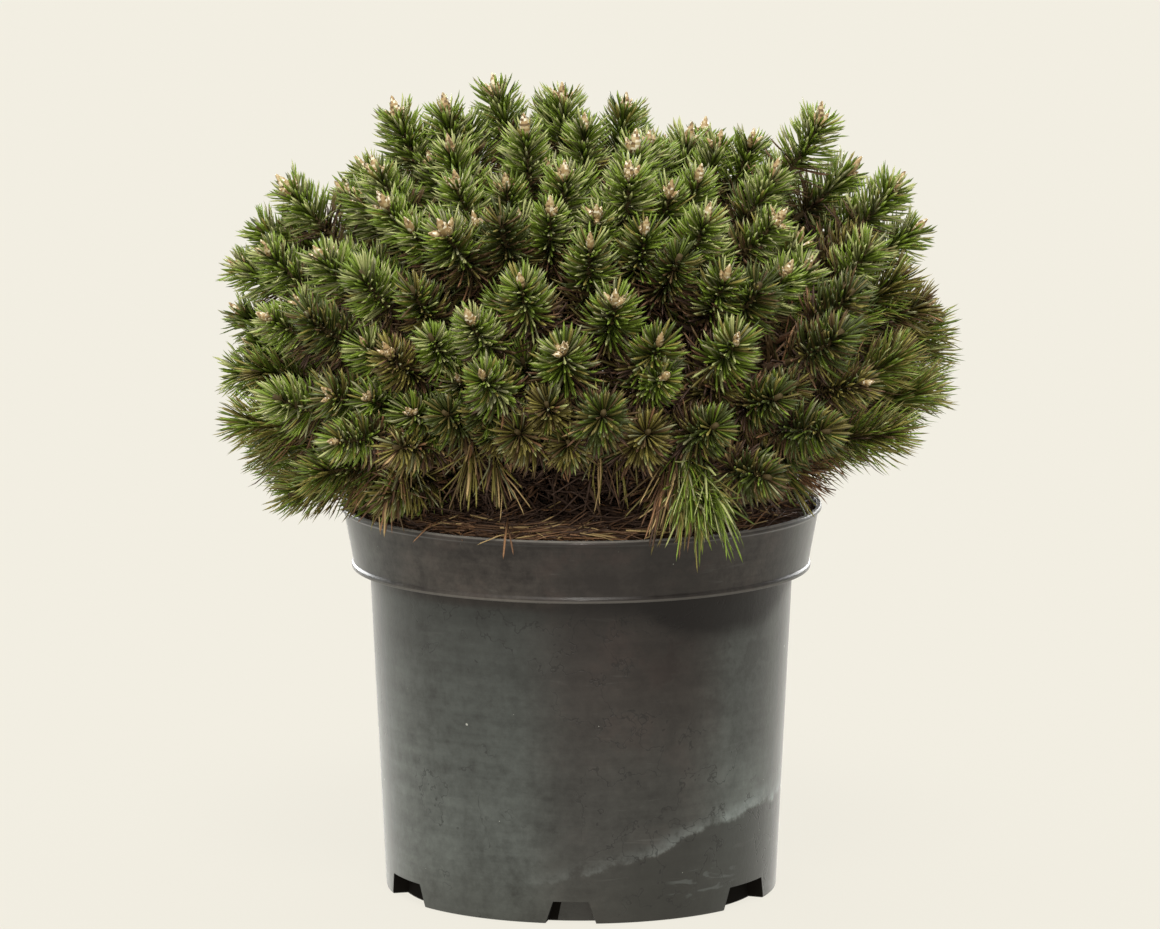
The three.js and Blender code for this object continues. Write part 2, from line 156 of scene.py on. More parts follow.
def finish(name, **constants):
    """A new material with these values on its shader's sockets."""
    material = bpy.data.materials.new(name)
    material.use_nodes = True
    for key, value in constants.items():
        shader_socket(material, key).default_value = (*value, 1.0) if isinstance(value, tuple) else value
    return material


def place_on(material):
    """The Object coordinates that the material's pattern starts from."""
    return Shade(material.node_tree).node("TexCoord", output=3)


def feed(material, **links):
    """Links values to the sockets of the material's shader."""
    for key, value in links.items():
        material.node_tree.links.new(value.socket, shader_socket(material, key))


def plain(name, colour, rough=0.55, gloss=0.35):
    """A finish of one colour."""
    return finish(name, Base_Color=srgb(*colour), Roughness=rough, Specular_IOR_Level=gloss)


FLOOR_HALF, FLOOR_LEVEL = 14.0, -0.0004  # metres
turned_about = ((-1, -1), (1, -1), (1, 1), (-1, 1))
floor_corners = [(x * FLOOR_HALF, y * FLOOR_HALF, FLOOR_LEVEL) for x, y in turned_about]
floor_mesh = bpy.data.meshes.new("floor")
floor_mesh.from_pydata(floor_corners, [], [(0, 1, 2, 3)])
floor = bpy.data.objects.new("floor", floor_mesh)
bpy.context.scene.collection.objects.link(floor)
floor_glow = dict(Emission_Color=(0.87, 0.839, 0.748), Emission_Strength=0.934)
floor_mesh.materials.append(
    finish("floor", Base_Color=(0.035, 0.034, 0.03), Roughness=0.9, Specular_IOR_Level=0.0, **floor_glow)
)

world = bpy.data.worlds.new("sky")
world.use_nodes = True
sky = Shade(world.node_tree)
upward = sky.node("SeparateXYZ", output=2, Vector=sky.node("TexCoord", output=0))
overhead = upward.between(0.45, 0.95).mix((0.46, 0.46, 0.45), (1.95, 1.95, 1.9))
world.node_tree.links.new(overhead.socket, world.node_tree.nodes["Background"].inputs["Color"])
bpy.context.scene.world = world

# name, strength, and in degrees how wide it is, its azimuth from the front to the right and its elevation
for name, strength, spread, azimuth, elevation, colour in (
    ("key", 2.3, 20, 2, 55, (1.0, 0.97, 0.91)),
    ("left", 0.56, 60, -62, 14, (1.0, 0.96, 0.88)),
    ("fill", 0.86, 6, 0, 9, (1.0, 0.93, 0.85)),
    ("left_rim", 3.5, 36, -152, 7, (1.0, 1.0, 1.0)),
    ("right_rim", 2.45, 36, 154, 7, (1.0, 1.0, 1.0)),
):
    lamp = bpy.data.lights.new(name, "SUN")
    lamp.energy, lamp.angle, lamp.color = strength, math.radians(spread), colour
    sun = bpy.data.objects.new(name, lamp)
    sun.rotation_euler = (math.radians(90 - elevation), 0.0, math.radians(azimuth))
    bpy.context.scene.collection.objects.link(sun)

# -------------------- pot
# A round nursery pot of black polypropylene, injection moulded in one piece: a tapering body under a wide
# collar with a bead along each edge. Six drains are pockets in the foot, under the wall.


def add_piece(name, corners, faces, materials, marks=None, crease=None):
    """A mesh object of corner rows in mm and arrays of face rows, shown smooth, on the plant's one body.
    marks gives each face's material, and crease the angle in degrees over which an edge stays sharp."""
    mesh = bpy.data.meshes.new(name)
    loops = np.concatenate([rows.ravel() for rows in faces]).astype(np.int32)
    sizes = np.concatenate([np.full(len(rows), rows.shape[1]) for rows in faces])
    mesh.vertices.add(len(corners))
    mesh.vertices.foreach_set("co", (np.asarray(corners) * 0.001).astype(np.float32).ravel())
    mesh.loops.add(len(loops))
    mesh.loops.foreach_set("vertex_index", loops)
    mesh.polygons.add(len(sizes))
    starts = np.concatenate([[0], np.cumsum(sizes)[:-1]]).astype(np.int32)
    mesh.polygons.foreach_set("loop_start", starts)
    if marks is not None:
        mesh.polygons.foreach_set("material_index", np.asarray(marks, np.int32))
    for material in materials:
        mesh.materials.append(material)
    mesh.update(calc_edges=True)
    mesh.shade_smooth()
    if crease is not None:
        mesh.set_sharp_from_angle(angle=math.radians(crease))
    mesh.validate()
    piece = bpy.data.objects.new(name, mesh)
    bpy.context.scene.collection.objects.link(piece)
    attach(piece, "root")
    return piece


def softened(profile, radius, steps=4):
    """A profile whose inner corners are cut back by radius on both sides and joined by a quadratic bend."""
    rows = np.asarray(profile, float)
    before, at, after = rows[:-2], rows[1:-1], rows[2:]
    towards = [other - at for other in (before, after)]
    lengths = [np.linalg.norm(way, axis=1, keepdims=True) for way in towards]
    cut = np.minimum(radius, 0.45 * np.minimum(*lengths))
    first, last = (at + way / length * cut for way, length in zip(towards, lengths))
    t = np.linspace(0, 1, steps)[:, None, None]
    bends = (1 - t) ** 2 * first + 2 * t * (1 - t) * at + t**2 * last
    return np.vstack([rows[:1], bends.transpose(1, 0, 2).reshape(-1, 2), rows[-1:]])


def closed_grid(rings, columns):
    """Face rows of a skin round rings of as many points as columns, between a pole below ring 0, which is
    the corner before them, and a pole after the last ring."""
    row = np.arange(rings - 1)[:, None] * columns + 1
    column = np.arange(columns)[None, :]
    beside = (column + 1) % columns
    quads = np.stack([row + column, row + beside, row + columns + beside, row + columns + column], -1)
    ends = np.arange(columns)
    turned = (ends + 1) % columns
    last = (rings - 1) * columns + 1
    first_fan = np.stack([np.zeros(columns, int), 1 + turned, 1 + ends], -1)
    last_fan = np.stack([last + ends, last + turned, np.full(columns, rings * columns + 1)], -1)
    return [quads.reshape(-1, 4), first_fan, last_fan]


def ring_points(radius, angle, z, first, last):
    """Corners of rings about the pot's axis, for closed_grid, between the poles at heights first and last."""
    rings = np.stack(np.broadcast_arrays(radius * np.cos(angle), radius * np.sin(angle), z), -1)
    return np.vstack([[(0, 0, first)], rings.reshape(-1, 3), [(0, 0, last)]])


# radii at the rim, at the collar's foot, of the body under the collar and at the ground
RIM, BAND_FOOT, NECK, FOOT = 140.0, 133.5, 123.0, 114.0
POT_HEIGHT, BAND, WALL, POT_FLOOR = 226.0, 37.0, 2.0, 4.0
LEDGE = POT_HEIGHT - BAND
RECESS, FOOT_RING, PAD = 2.0, 20.0, 30.0  # the hollow underneath, between a foot ring and a middle pad
LIP, BEAD, ROUNDING = 1.0, 2.6, 0.9  # how far the collar's beads stand out, their height and soft edges
DRAINS, DRAIN_TURN, DRAIN_TOP, DRAIN_DEPTH = 6, -3.0, 13.0, 9.0
DRAIN_WIDTHS = np.array([(29.0, 20.0), (43.0, 34.0)])  # below and above, of every other drain in turn
POCKET_COLUMNS, BETWEEN_COLUMNS = 11, 30  # of the skin, over a drain and from one drain to the next
SIDE_STEP = 0.0014  # radians between the two columns that run down a drain's side


def body_radius(z):
    """The body tapers evenly from under the collar to the ground."""
    return FOOT + (NECK - FOOT) * z / LEDGE


# radius and height: the underside, the body, the collar with its two beads, and then the inside
body_heights = (3.5, 7, 10.5, DRAIN_TOP - 0.2, DRAIN_TOP + 0.2, 17, 24, 60, 110, 150, LEDGE)
profile = [(0.5, 0), (PAD, 0), (PAD + RECESS, RECESS)]
profile += [(FOOT - FOOT_RING - RECESS, RECESS), (FOOT - FOOT_RING, 0), (FOOT, 0)]
profile += [(body_radius(z), z) for z in body_heights]
profile += [(BAND_FOOT, LEDGE), (BAND_FOOT, LEDGE + BEAD), (BAND_FOOT - LIP, LEDGE + BEAD + LIP)]
profile += [(RIM - 2 * LIP, POT_HEIGHT - BEAD - LIP), (RIM, POT_HEIGHT - BEAD)]
profile += [(RIM - LIP / 2, POT_HEIGHT), (RIM - WALL * 1.5, POT_HEIGHT)]
profile += [(BAND_FOOT - WALL * 1.2, LEDGE + WALL), (body_radius(LEDGE) - WALL, LEDGE + WALL)]
profile += [(body_radius(DRAIN_TOP) - WALL, DRAIN_TOP + WALL), (FOOT - WALL, POT_FLOOR), (0.5, POT_FLOOR)]


def pot_corners(profile):
    """The pot's skin, and its count of rings and columns: the profile turned about the axis, with columns
    that run down both sides of each drain. Below a drain's top nothing stands further out than the pocket's
    back, and the inside follows."""
    inside = np.arange(len(profile)) > np.argmax(profile[:, 0])
    radius, z = profile[:, 0:1], profile[:, 1:2]
    rise = np.clip(z / DRAIN_TOP, 0, 1)
    lining = 2 * WALL * inside[:, None]
    edges = [(below + (above - below) * rise + lining) / 2 / FOOT for below, above in DRAIN_WIDTHS]
    sector = 2 * math.pi / DRAINS
    pocket = np.linspace(-1, 1, POCKET_COLUMNS)[None, :]
    ease = np.linspace(0, 1, BETWEEN_COLUMNS)[None, :]
    ease = ease - 0.09 * np.sin(2 * math.pi * ease)
    columns, within = [], []
    for k, (edge, other) in enumerate([edges, edges[::-1]]):
        gap = sector - edge - other - 2 * SIDE_STEP
        columns += [k * sector + pocket * edge, k * sector + edge + SIDE_STEP + ease * gap]
        within += [True] * pocket.size + [False] * ease.size
    turns, within = np.hstack(columns), np.array(within)
    back = FOOT - DRAIN_DEPTH - WALL * inside[:, None]
    below = z < DRAIN_TOP + WALL * inside[:, None]
    reach = np.where(within[None, :] & below, np.minimum(radius, back), radius)
    pairs = DRAINS // 2
    start = -math.pi / 2 + math.radians(DRAIN_TURN)
    angle = start + np.hstack([turns + 2 * k * sector for k in range(pairs)])
    reach = np.tile(reach, (1, pairs))
    return ring_points(reach, angle, z, profile[0, 1], profile[-1, 1]), reach.shape


pot_points, pot_grid = pot_corners(softened(profile, ROUNDING))

sheen = dict(Sheen_Weight=0.26, Sheen_Roughness=0.35)
pot_finish = finish("black_polypropylene", Specular_IOR_Level=0.25, Coat_Roughness=0.16, **sheen)
# turn is 0 at the front and grows to the right, in radians, and height is in metres
place = place_on(pot_finish)
across, deep, height = (place.node("SeparateXYZ", output=i, Vector=place) for i in range(3))
turn = place.sum("ARCTAN2", across, deep * -1)
cloud = place.clouds(11.0, 4.0, 0.6)
blotch = place.clouds(38.0, 4.0, 0.65)
grain = place.clouds(170.0, 4.0, 0.7)
drips = place.moved(Scale=(1.0, 1.0, 0.1)).clouds(80.0, 3.0)
scuffs = place.moved(Scale=(0.3, 0.3, 3.2)).clouds(45.0, 4.0, 0.65)
on_body = height.between(0.186, 0.180)
# a film of dust with painted reflection and shade laid into it: brown and darker in the middle of the front
# and on the collar as painted shade, and thicker, paler and bluer towards both sides as a painted reflection
# of the bright surroundings
painted_brown_shade = turn.band(-0.35, 0.05, 0.5, 0.85) * (0.45 + height.between(0.06, 0.15) * 0.55)
on_collar = (1 - on_body) * turn.band(-1.4, -0.6, 0.9, 1.25)
painted_brown_shade = painted_brown_shade + on_collar * (1 - painted_brown_shade)
left_dust_and_reflection = turn.between(-0.02, -0.34) * 0.13 + turn.between(-0.55, -1.15) * 0.2
left_dust_and_reflection = left_dust_and_reflection - turn.between(-1.8, -2.8) * 0.14
right_dust_and_reflection = turn.between(0.45, 0.8) * 0.16 + turn.between(0.7, 1.2) * height.between(0.12, 0.05) * 0.16
thick = 0.07 + left_dust_and_reflection + right_dust_and_reflection * turn.between(3.0, 1.9) + turn.between(1.9, 3.0) * 0.19
mottle = (cloud - 0.5) * 1.8 + (blotch - 0.5) * 2.2 + (grain - 0.5) * 2.4
mottle = (mottle + (drips - 0.5) * 1.0 + (scuffs - 0.5) * 1.8) * (1.6 - on_body * 0.95)
dust_and_reflection = thick * (1 + mottle) + (grain - 0.5) * 0.05 + (blotch - 0.5) * 0.07 + (scuffs - 0.5) * 0.05
dust_and_reflection = place.sum("MAXIMUM", dust_and_reflection, 0.0)
dust_and_reflection = dust_and_reflection * (0.45 + on_body * (1.0 - height * 4.5)) * (0.45 + height.between(-0.006, 0.035) * 0.55)
# bluish grey where the sides' painted reflection lies, brown where the painted shade lies
dust_and_reflection_colour = painted_brown_shade.mix(srgb(108, 114, 110), srgb(111, 105, 98))
bare = painted_brown_shade.mix(srgb(39, 40, 38), srgb(36, 32, 30))
bare = (blotch.between(0.5, 0.64) * painted_brown_shade * 0.25).mix(bare, srgb(52, 38, 35))
with_dust_and_reflection = dust_and_reflection.mix(bare, dust_and_reflection_colour)
# low on the right the film ends at the wavy edge of a dried splash
edge = height - 0.019 - turn.between(math.radians(-25), math.radians(60)) * 0.040
edge = edge + turn.between(1.5, 2.5) * 0.034 + (grain - 0.5) * 0.005
edge = edge + (blotch - 0.5) * 0.014 + (cloud - 0.5) * 0.02
splash = edge.band(-0.0006, 0.0016, 0.0, 0.012)
splash = splash * (0.2 + blotch.between(0.36, 0.62) * 0.9 + (grain - 0.5) * 2.4)
splash = splash * (turn.between(-0.5, 0.4) * 0.4 + turn.between(0.3, 1.1) * 0.75) * turn.between(2.3, 1.5)
washed = edge.between(0.0006, -0.002) * turn.band(-0.2, 0.5, 1.5, 2.3)
smudge = place.moved(Location=(0.0, 0.0, -0.0205), Scale=(1.0, 1.0, 4.5)).clouds(46.0, 3.0, swirl=0.8)
smudge = smudge.between(0.54, 0.62) * height.band(0.008, 0.016, 0.022, 0.034)
smudge = smudge * turn.band(0.42, 0.5, 0.8, 0.92)
dusty = (height.between(0.05, 0.0) * (0.2 + grain * 0.7) * 0.14).mix(with_dust_and_reflection, srgb(92, 91, 80))
clean = (washed * 0.72).mix(dusty, srgb(41, 41, 38))
muddy = (splash * 0.48 + smudge * 0.12).mix(clean, srgb(136, 144, 142))
# hair cracks, rubbed streaks and specks
hair = place.clouds(34.0, 4.0, 0.6, 0.2)
hair = place.sum("ABSOLUTE", hair - 0.5).between(0.011, 0.002) * cloud.between(0.49, 0.56) * on_body
rub = place.moved(Rotation=(0.5, 0.4, 0.2), Scale=(0.5, 0.5, 3.4)).clouds(75.0, 2.0, swirl=0.5)
rubs = rub.between(0.64, 0.74) * cloud.between(0.47, 0.62)
chip_place = place.moved(Rotation=(0.3, 0.2, 0.9))
specks = 0
for size, share in ((70.0, 0.95), (190.0, 0.93)):
    chips, kind = chip_place.cells(size), chip_place.cells(size, output=1)
    chosen = place.node("SeparateColor", Color=kind).between(share, share + 0.01)
    specks = specks + (chips + (grain - 0.5) * 0.16).between(0.055, 0.02) * chosen * 0.7
scratched = (hair * 0.55).mix(muddy, srgb(26, 25, 24))
scratched = (rubs * 0.05).mix(scratched, srgb(140, 142, 138))
# painted shadow under the collar, lowest on the right, with dark blotches there and a painted shade over the
# upper body; and painted highlights along the rim's top and the collar's lower bead
sagged = turn.band(0.2, 0.55, 0.95, 1.4)
collar_shadow = (height + sagged * 0.016 + (blotch - 0.5) * 0.014).between(0.174, 0.1865)
collar_shadow = collar_shadow * height.between(0.1905, 0.1885)
collar_shadow = collar_shadow * (0.4 + turn.band(-0.3, 0.5, 2.0, 3.0) * 0.6)
# painted shade over the upper body, from the back left round to the front right
shaded = height.between(0.11, 0.17) * turn.band(-3.0, -2.0, 0.35, 0.75) * on_body
dark_blotches = blotch.between(0.54, 0.62) * sagged * height.between(0.10, 0.14) * on_body
shaded_and_blotched = place.sum("MAXIMUM", collar_shadow * 0.9, dark_blotches * 0.4 + shaded * 0.24).mix(scratched, srgb(20, 15, 14))
away = place.sum("SQRT", across * across + deep * deep)
# painted highlights: a pale line along the rim's top and a fainter one along the collar's lower bead
rim_highlight = height.between(0.2246, 0.2257) * (0.4 + grain * 0.6)
bead_highlight = height.band(0.1890, 0.1895, 0.1903, 0.1908) * away.between(0.1318, 0.1328)
highlighted = (rim_highlight * 0.4 + bead_highlight * 0.12).mix(shaded_and_blotched, srgb(170, 166, 158))
speckled = specks.mix(highlighted, srgb(176, 178, 170))
dull = 0.34 + cloud * 0.16 + splash * 0.3 + (grain - 0.5) * 0.12 + dust_and_reflection * 0.3
relief = (grain + drips * 0.6 + blotch * 0.8 - hair).bump(0.25, 0.0006)
shine = (0.24 - painted_brown_shade * 0.14) * (1 - collar_shadow)
feed(pot_finish, Base_Color=speckled, Roughness=dull, Normal=relief, Coat_Weight=shine)
# a dark matt finish that paints the shade inside the drains
drain_shade_finish = plain("drain_painted_shade", (20, 18, 15), 0.9, 0.08)

# painted shade: the wide drains' pockets take a dark matt finish inside, and so does the left fifth of the
# narrow ones
pot_faces = closed_grid(*pot_grid)
middles = np.concatenate([pot_points[rows].mean(1) for rows in pot_faces])
outwards = np.hypot(middles[:, 0], middles[:, 1])
around = np.degrees(np.arctan2(middles[:, 1], middles[:, 0])) + 90 - DRAIN_TURN
from_narrow = (around + 360 / DRAINS) % (720 / DRAINS) - 360 / DRAINS
in_drain = (middles[:, 2] < DRAIN_TOP + 0.5) & (middles[:, 2] > 0.4) & (outwards > 90) & (outwards < FOOT - 4)
half_drain = np.degrees(np.interp(middles[:, 2], [0, DRAIN_TOP], DRAIN_WIDTHS[0]) / 2 / FOOT)
drain_shade = in_drain & ((np.abs(from_narrow) > 180 / DRAINS) | (from_narrow < -0.6 * half_drain))
pot = add_piece("pot_shell", pot_points, pot_faces, [pot_finish, drain_shade_finish], drain_shade, crease=28)
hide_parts("pot")

# -------------------- potting mix
# Damp peat and composted bark, filled to just under the rim and mounded round the stem. It fills the pot, so
# its hidden sides are plain and its top is rumpled.


def rumple(points, cell, seed):
    """A smooth uneven height between about -1 and 1: sines of random headings in four octaves, each finer."""
    random = np.random.default_rng(seed)
    total = 0
    for octave in range(4):
        for _ in range(3):
            heading = random.normal(size=3)
            heading *= 2 * math.pi / cell * 1.9**octave / np.linalg.norm(heading)
            total = total + np.sin(points @ heading + random.uniform(0, 2 * math.pi)) * 0.6**octave
    return total / 3.2


MIX_EDGE, MIX_MIDDLE, MIX_FLAT = POT_HEIGHT - 3.0, 231.0, 42.0
mix_rim = BAND_FOOT + (RIM - BAND_FOOT) * (MIX_EDGE - LEDGE) / BAND - 2 * WALL


def mix_top(x, y):
    """The top's height: level round the stem, falling to the wall, with lumps that fade at the wall."""
    away = np.hypot(x, y)
    fall = np.clip((away - MIX_FLAT) / (mix_rim - MIX_FLAT), 0, 1)
    level = np.stack([x, y, 0 * x], -1)
    lumps = rumple(level, 26.0, 3) * 1.6 + rumple(level, 7.0, 4) * 0.8
    return MIX_MIDDLE + (MIX_EDGE - MIX_MIDDLE) * fall**1.4 + lumps * np.clip((mix_rim - away) / 12, 0, 1)


MIX_COLUMNS = 160
mix_turns = np.linspace(0, 2 * math.pi, MIX_COLUMNS, endpoint=False)[None, :]
# radius and height down the hidden sides, then the rings of the top
mix_below = [(1, 5), (98, 5), (98, 20), (111, 20), (119, 191), (129, 192), (mix_rim, MIX_EDGE)]
mix_rings = np.array(mix_below + [(r, 0) for r in np.linspace(mix_rim - 1.5, 1.5, 60)])
mix_x, mix_y = mix_rings[:, :1] * np.cos(mix_turns), mix_rings[:, :1] * np.sin(mix_turns)
mix_z = np.where(np.arange(len(mix_rings))[:, None] < len(mix_below), mix_rings[:, 1:], mix_top(mix_x, mix_y))
mix_points = ring_points(mix_rings[:, :1], mix_turns, mix_z, 5.0, mix_top(np.zeros(1), np.zeros(1))[0])

mix_finish = finish("potting_mix", Specular_IOR_Level=0.25)
place = place_on(mix_finish)
crumbs = place.cells(330.0)
patches = place.clouds(45.0, 5.0, 0.65)
peat = patches.between(0.36, 0.66).mix(srgb(66, 50, 40), srgb(104, 77, 55))
feed(
    mix_finish,
    Base_Color=(crumbs.between(0.1, 0.6) * 0.5).mix(peat, srgb(56, 43, 35)),
    Roughness=0.8 + patches * 0.25,
    Normal=(crumbs + patches).bump(0.8, 0.0015),
)
mix = add_piece("mix", mix_points, closed_grid(len(mix_rings), MIX_COLUMNS), [mix_finish])
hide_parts("potting_mix")

# -------------------- litter
# Dead needles that have dropped on the mix and dried to an orange brown. They lie every way in a thin
# felt, thickest along the wall, and a few stick out over the rim.


def unit(rows):
    return rows / np.linalg.norm(rows, axis=-1, keepdims=True)


def pointing(a, e):
    """The unit direction of an azimuth and an elevation in radians."""
    return np.stack([np.cos(e) * np.cos(a), np.cos(e) * np.sin(a), np.sin(e) + 0 * a], -1)


def heading_of(azimuth, elevation):
    """The unit direction of an azimuth and an elevation in degrees."""
    return pointing(np.radians(azimuth), np.radians(elevation))


def needles(start, along, out, length, width, bend, stations=(0.0, 0.5, 0.9)):
    """Corners and faces of many three-sided needles. Each leaves start along one direction and bends away
    from out by the angle bend: its middle line is start + length (s along - s^2 bend / 2 out). Three
    corners stand round that line at each station s, the flat side towards out, and one more is the tip."""
    count = len(start)
    side = unit(np.cross(along, out))
    out = unit(np.cross(side, along))
    s = np.array([*stations, 1.0])[None, :, None]
    curve = s * along[:, None] - 0.5 * s**2 * bend[:, None, None] * out[:, None]
    line = start[:, None] + length[:, None, None] * curve
    full = np.interp(stations, [0, 0.25, 0.85, 1], [0.62, 1, 0.9, 0.2])[None, :, None, None]
    half = width[:, None, None, None] / 2 * full
    across = side[:, None, None] * np.array([-1.0, 1.0, 0.0])[None, None, :, None]
    thick = out[:, None, None] * np.array([0.35, 0.35, -0.65])[None, None, :, None]
    body = line[:, :-1, None] + half * (across + thick)
    corners = np.concatenate([body.reshape(count, -1, 3), line[:, -1:]], 1)
    rings = len(stations)
    one = [(0, 1, 2)]
    for k in range(rings - 1):
        for i in range(3):
            a, b = 3 * k + i, 3 * k + (i + 1) % 3
            one += [(a, a + 3, b + 3), (a, b + 3, b)]
    top = 3 * rings - 3
    one += [(top + i, 3 * rings, top + (i + 1) % 3) for i in range(3)]
    step = 3 * rings + 1
    faces = np.array(one)[None] + step * np.arange(count)[:, None, None]
    return corners.reshape(-1, 3), faces.reshape(-1, 3), len(one)


dead_finishes = [
    plain("needle_rust", (136, 102, 73), 0.6),
    plain("needle_brown", (106, 80, 60), 0.65),
    plain("needle_straw", (174, 149, 104), 0.55),
    plain("needle_dark", (78, 61, 51), 0.7),
]

LITTER = 2600
HEAP, HEAP_MIDDLE, HEAP_SPREAD = 620, 254, 14  # those in a low heap at the wall in front, and its azimuths
random = np.random.default_rng(11)
away = mix_rim * np.sqrt(random.uniform(0.1, 0.985, LITTER)) ** 0.8
turns = random.uniform(0, 2 * math.pi, LITTER)
heap = slice(0, HEAP)
away[heap] = random.uniform(108, mix_rim - 3, HEAP)
turns[heap] = np.radians(random.normal(HEAP_MIDDLE, HEAP_SPREAD, HEAP))
fallen = np.stack([away * np.cos(turns), away * np.sin(turns)], -1)
heading = random.uniform(0, 2 * math.pi, LITTER)
heading[heap] = turns[heap] + math.pi / 2 + random.normal(0, 0.7, HEAP)
tilt = random.normal(0.04, 0.16, LITTER)
lie = pointing(heading, tilt)
length = random.uniform(16, 36, LITTER)
lift = random.uniform(0.6, 4.2, LITTER)
lift[heap] += random.uniform(0, 4, HEAP)
base = np.column_stack([fallen, mix_top(*fallen.T) + lift]) - lie * length[:, None] / 2
ends = np.hypot(*(base + lie * length[:, None])[:, :2].T), np.hypot(*base[:, :2].T)
lies_in = (ends[0] < mix_rim - 1) & (ends[1] < mix_rim - 1) & (np.hypot(*fallen.T) > 16)
rolls = unit(np.cross(lie, random.normal(size=(LITTER, 3))))
points, faces, each = needles(
    *(rows[lies_in] for rows in (base, lie, rolls, length)),
    random.uniform(1.1, 1.7, lies_in.sum()),
    random.normal(0, 0.35, lies_in.sum()),
    (0.0, 0.45, 0.9),
)
# the odds of each finish near the wall, and in the middle, where mostly dark needles paint the shade under
# the crown
wall_odds, shaded_middle_odds = np.array([0.13, 0.3, 0.08, 0.49]), np.array([0.02, 0.1, 0.01, 0.87])
outer = np.clip((np.hypot(*fallen[lies_in].T) - 112) / 13, 0, 1)[:, None]
odds = np.cumsum(shaded_middle_odds + (wall_odds - shaded_middle_odds) * outer, 1)
marks = np.repeat((random.uniform(size=(len(outer), 1)) > odds[:, :3]).sum(1), each)
litter = add_piece("litter", points, [faces], dead_finishes, marks)

# needles caught on the rim: middle x, y, height, heading in degrees and dip in degrees
CAUGHT_LENGTH = 26.0
caught_at = [(-43, -134, 228, 262, 38), (-40, -132, 228.5, 281, 25), (-47, -131, 229, 200, 3)]
caught_at += [(-20, -133, 229, 185, 2), (28, -131, 229.5, 350, 4), (12, -134, 229, 12, 6)]
caught_at = np.array([*caught_at, (-88, -106, 229, 228, 14)])
one = np.ones(len(caught_at))
lie = heading_of(caught_at[:, 3], -caught_at[:, 4])
base = caught_at[:, :3] - lie * CAUGHT_LENGTH / 2
points, faces, each = needles(base, lie, one[:, None] * [0, 0, 1], one * CAUGHT_LENGTH, one * 1.4, one * 0.4)
marks = np.repeat(np.arange(len(one)) % 3, each)
caught = add_piece("caught_needles", points, [faces], dead_finishes, marks)

# -------------------- stem and boughs
# The short woody stem flares where its roots enter the mix and forks at once into boughs. Both wear a
# rough grey-brown bark that splits into small plates.

HEART = np.array([0.0, 0.0, 262.0])
# the crown's half width, how much wider it is sideways, its rise over the heart and how much less to the
# right, how square its shoulders are, how fast it draws in below the heart, and its skirt's dip in degrees;
# then how unevenly shoots reach, the share of that inwards, the degrees they stray by, and their count
CROWN = dict(half=206, oval=8, rise=200, tilt=14, square=2.5, tuck=0.8, skirt=11)
CROWN.update(scatter=0.09, even=0.75, stray=5, shoots=147, seed=55)
OPENINGS = [(259, 27, 23), (348, 30, 15)]  # in the skirt: azimuth, half width and lift in degrees
# name, places round the crown, how many are filled, elevation, first azimuth, bough radius at root and tip
RINGS = [
    ("top", 1, 1, 90, 0, 5, 3.6),
    ("upper", 5, 5, 57, 306, 5, 3.6),
    ("middle", 8, 8, 27, 270, 5.6, 4),
    ("lower", 8, 7, 0, 292.5, 4.4, 3.2),
]
BOUGH_SHARE = 0.4  # of a mass's reach, where its bough ends
FORKS = {"top": (266, 266), "upper": (266, 266), "middle": (245, 255)}  # where they leave the stem, in turn
FIRST_MIDDLE, ON_MIDDLE = 6, 0.4  # the lower boughs spring from the middle ones, at this share of their curve
STEM_FOOT, STEM_TOP, SOIL = 229.0, 279.0, 231.3
FORK, LEAN = 277, 4.0  # a height, and how far right the stem's middle has moved there


def azimuth_of(d):
    return np.degrees(np.arctan2(d[..., 1], d[..., 0]))


def elevation_of(d):
    return np.degrees(np.arcsin(np.clip(d[..., 2] / np.linalg.norm(d, axis=-1), -1, 1)))


def reach_of(d):
    """How far the shoots reach from the heart: a superellipse above it, lower to the right, and a width
    that draws in steadily below it."""
    a = np.radians(azimuth_of(d))
    half = CROWN["half"] + CROWN["oval"] * np.cos(2 * a)
    p = CROWN["square"]
    level = np.hypot(d[..., 0], d[..., 1]) / half
    rise = np.clip(d[..., 2], 0, 1) / (CROWN["rise"] - CROWN["tilt"] * d[..., 0])
    above = (level**p + rise**p) ** (-1 / p)
    return np.where(d[..., 2] < 0, half * (1 + CROWN["tuck"] * d[..., 2]), above)


places = [(ring, k) for ring in RINGS for k in range(ring[2])]
masses = [{"name": f"{r[0]}_{k + 1}" if r[1] > 1 else r[0], "ring": r, "k": k} for r, k in places]
mass_axes = np.array([heading_of(m["ring"][4] + m["k"] * 360 / m["ring"][1], m["ring"][3]) for m in masses])
mass_reach = reach_of(mass_axes)


def bezier(rows, t):
    """Points of quadratic curves: (1-t)^2 first + 2t(1-t) middle + t^2 last, for rows of three points."""
    t = t[..., None]
    first, middle, last = (rows[..., i, :][..., None, :] for i in range(3))
    return (1 - t) ** 2 * first + 2 * t * (1 - t) * middle + t**2 * last


def stem_lean(z):
    """How far right of the axis the stem's middle is at a height."""
    return LEAN * (z - SOIL) / (FORK - SOIL)


bough_rows = []
for mass, axis, reach in zip(masses, mass_axes, mass_reach):
    end = HEART + axis * BOUGH_SHARE * reach
    if mass["ring"][0] == "lower":
        root = bezier(bough_rows[FIRST_MIDDLE + mass["k"]], np.array([ON_MIDDLE]))[0]
    else:
        low = FORKS[mass["ring"][0]][mass["k"] % 2]
        root = np.array([stem_lean(low), 0, low])
    bend = end - axis * np.linalg.norm(end - root) * 0.5
    bough_rows.append(np.array([root, bend, end]))
bough_rows = np.array(bough_rows)


def square_to(chord):
    """A unit direction square to each chord."""
    apart = np.where(np.abs(chord[:, 2:]) < 0.8, [[0.0, 0.0, 1.0]], [[1.0, 0.0, 0.0]])
    return unit(np.cross(apart, chord))


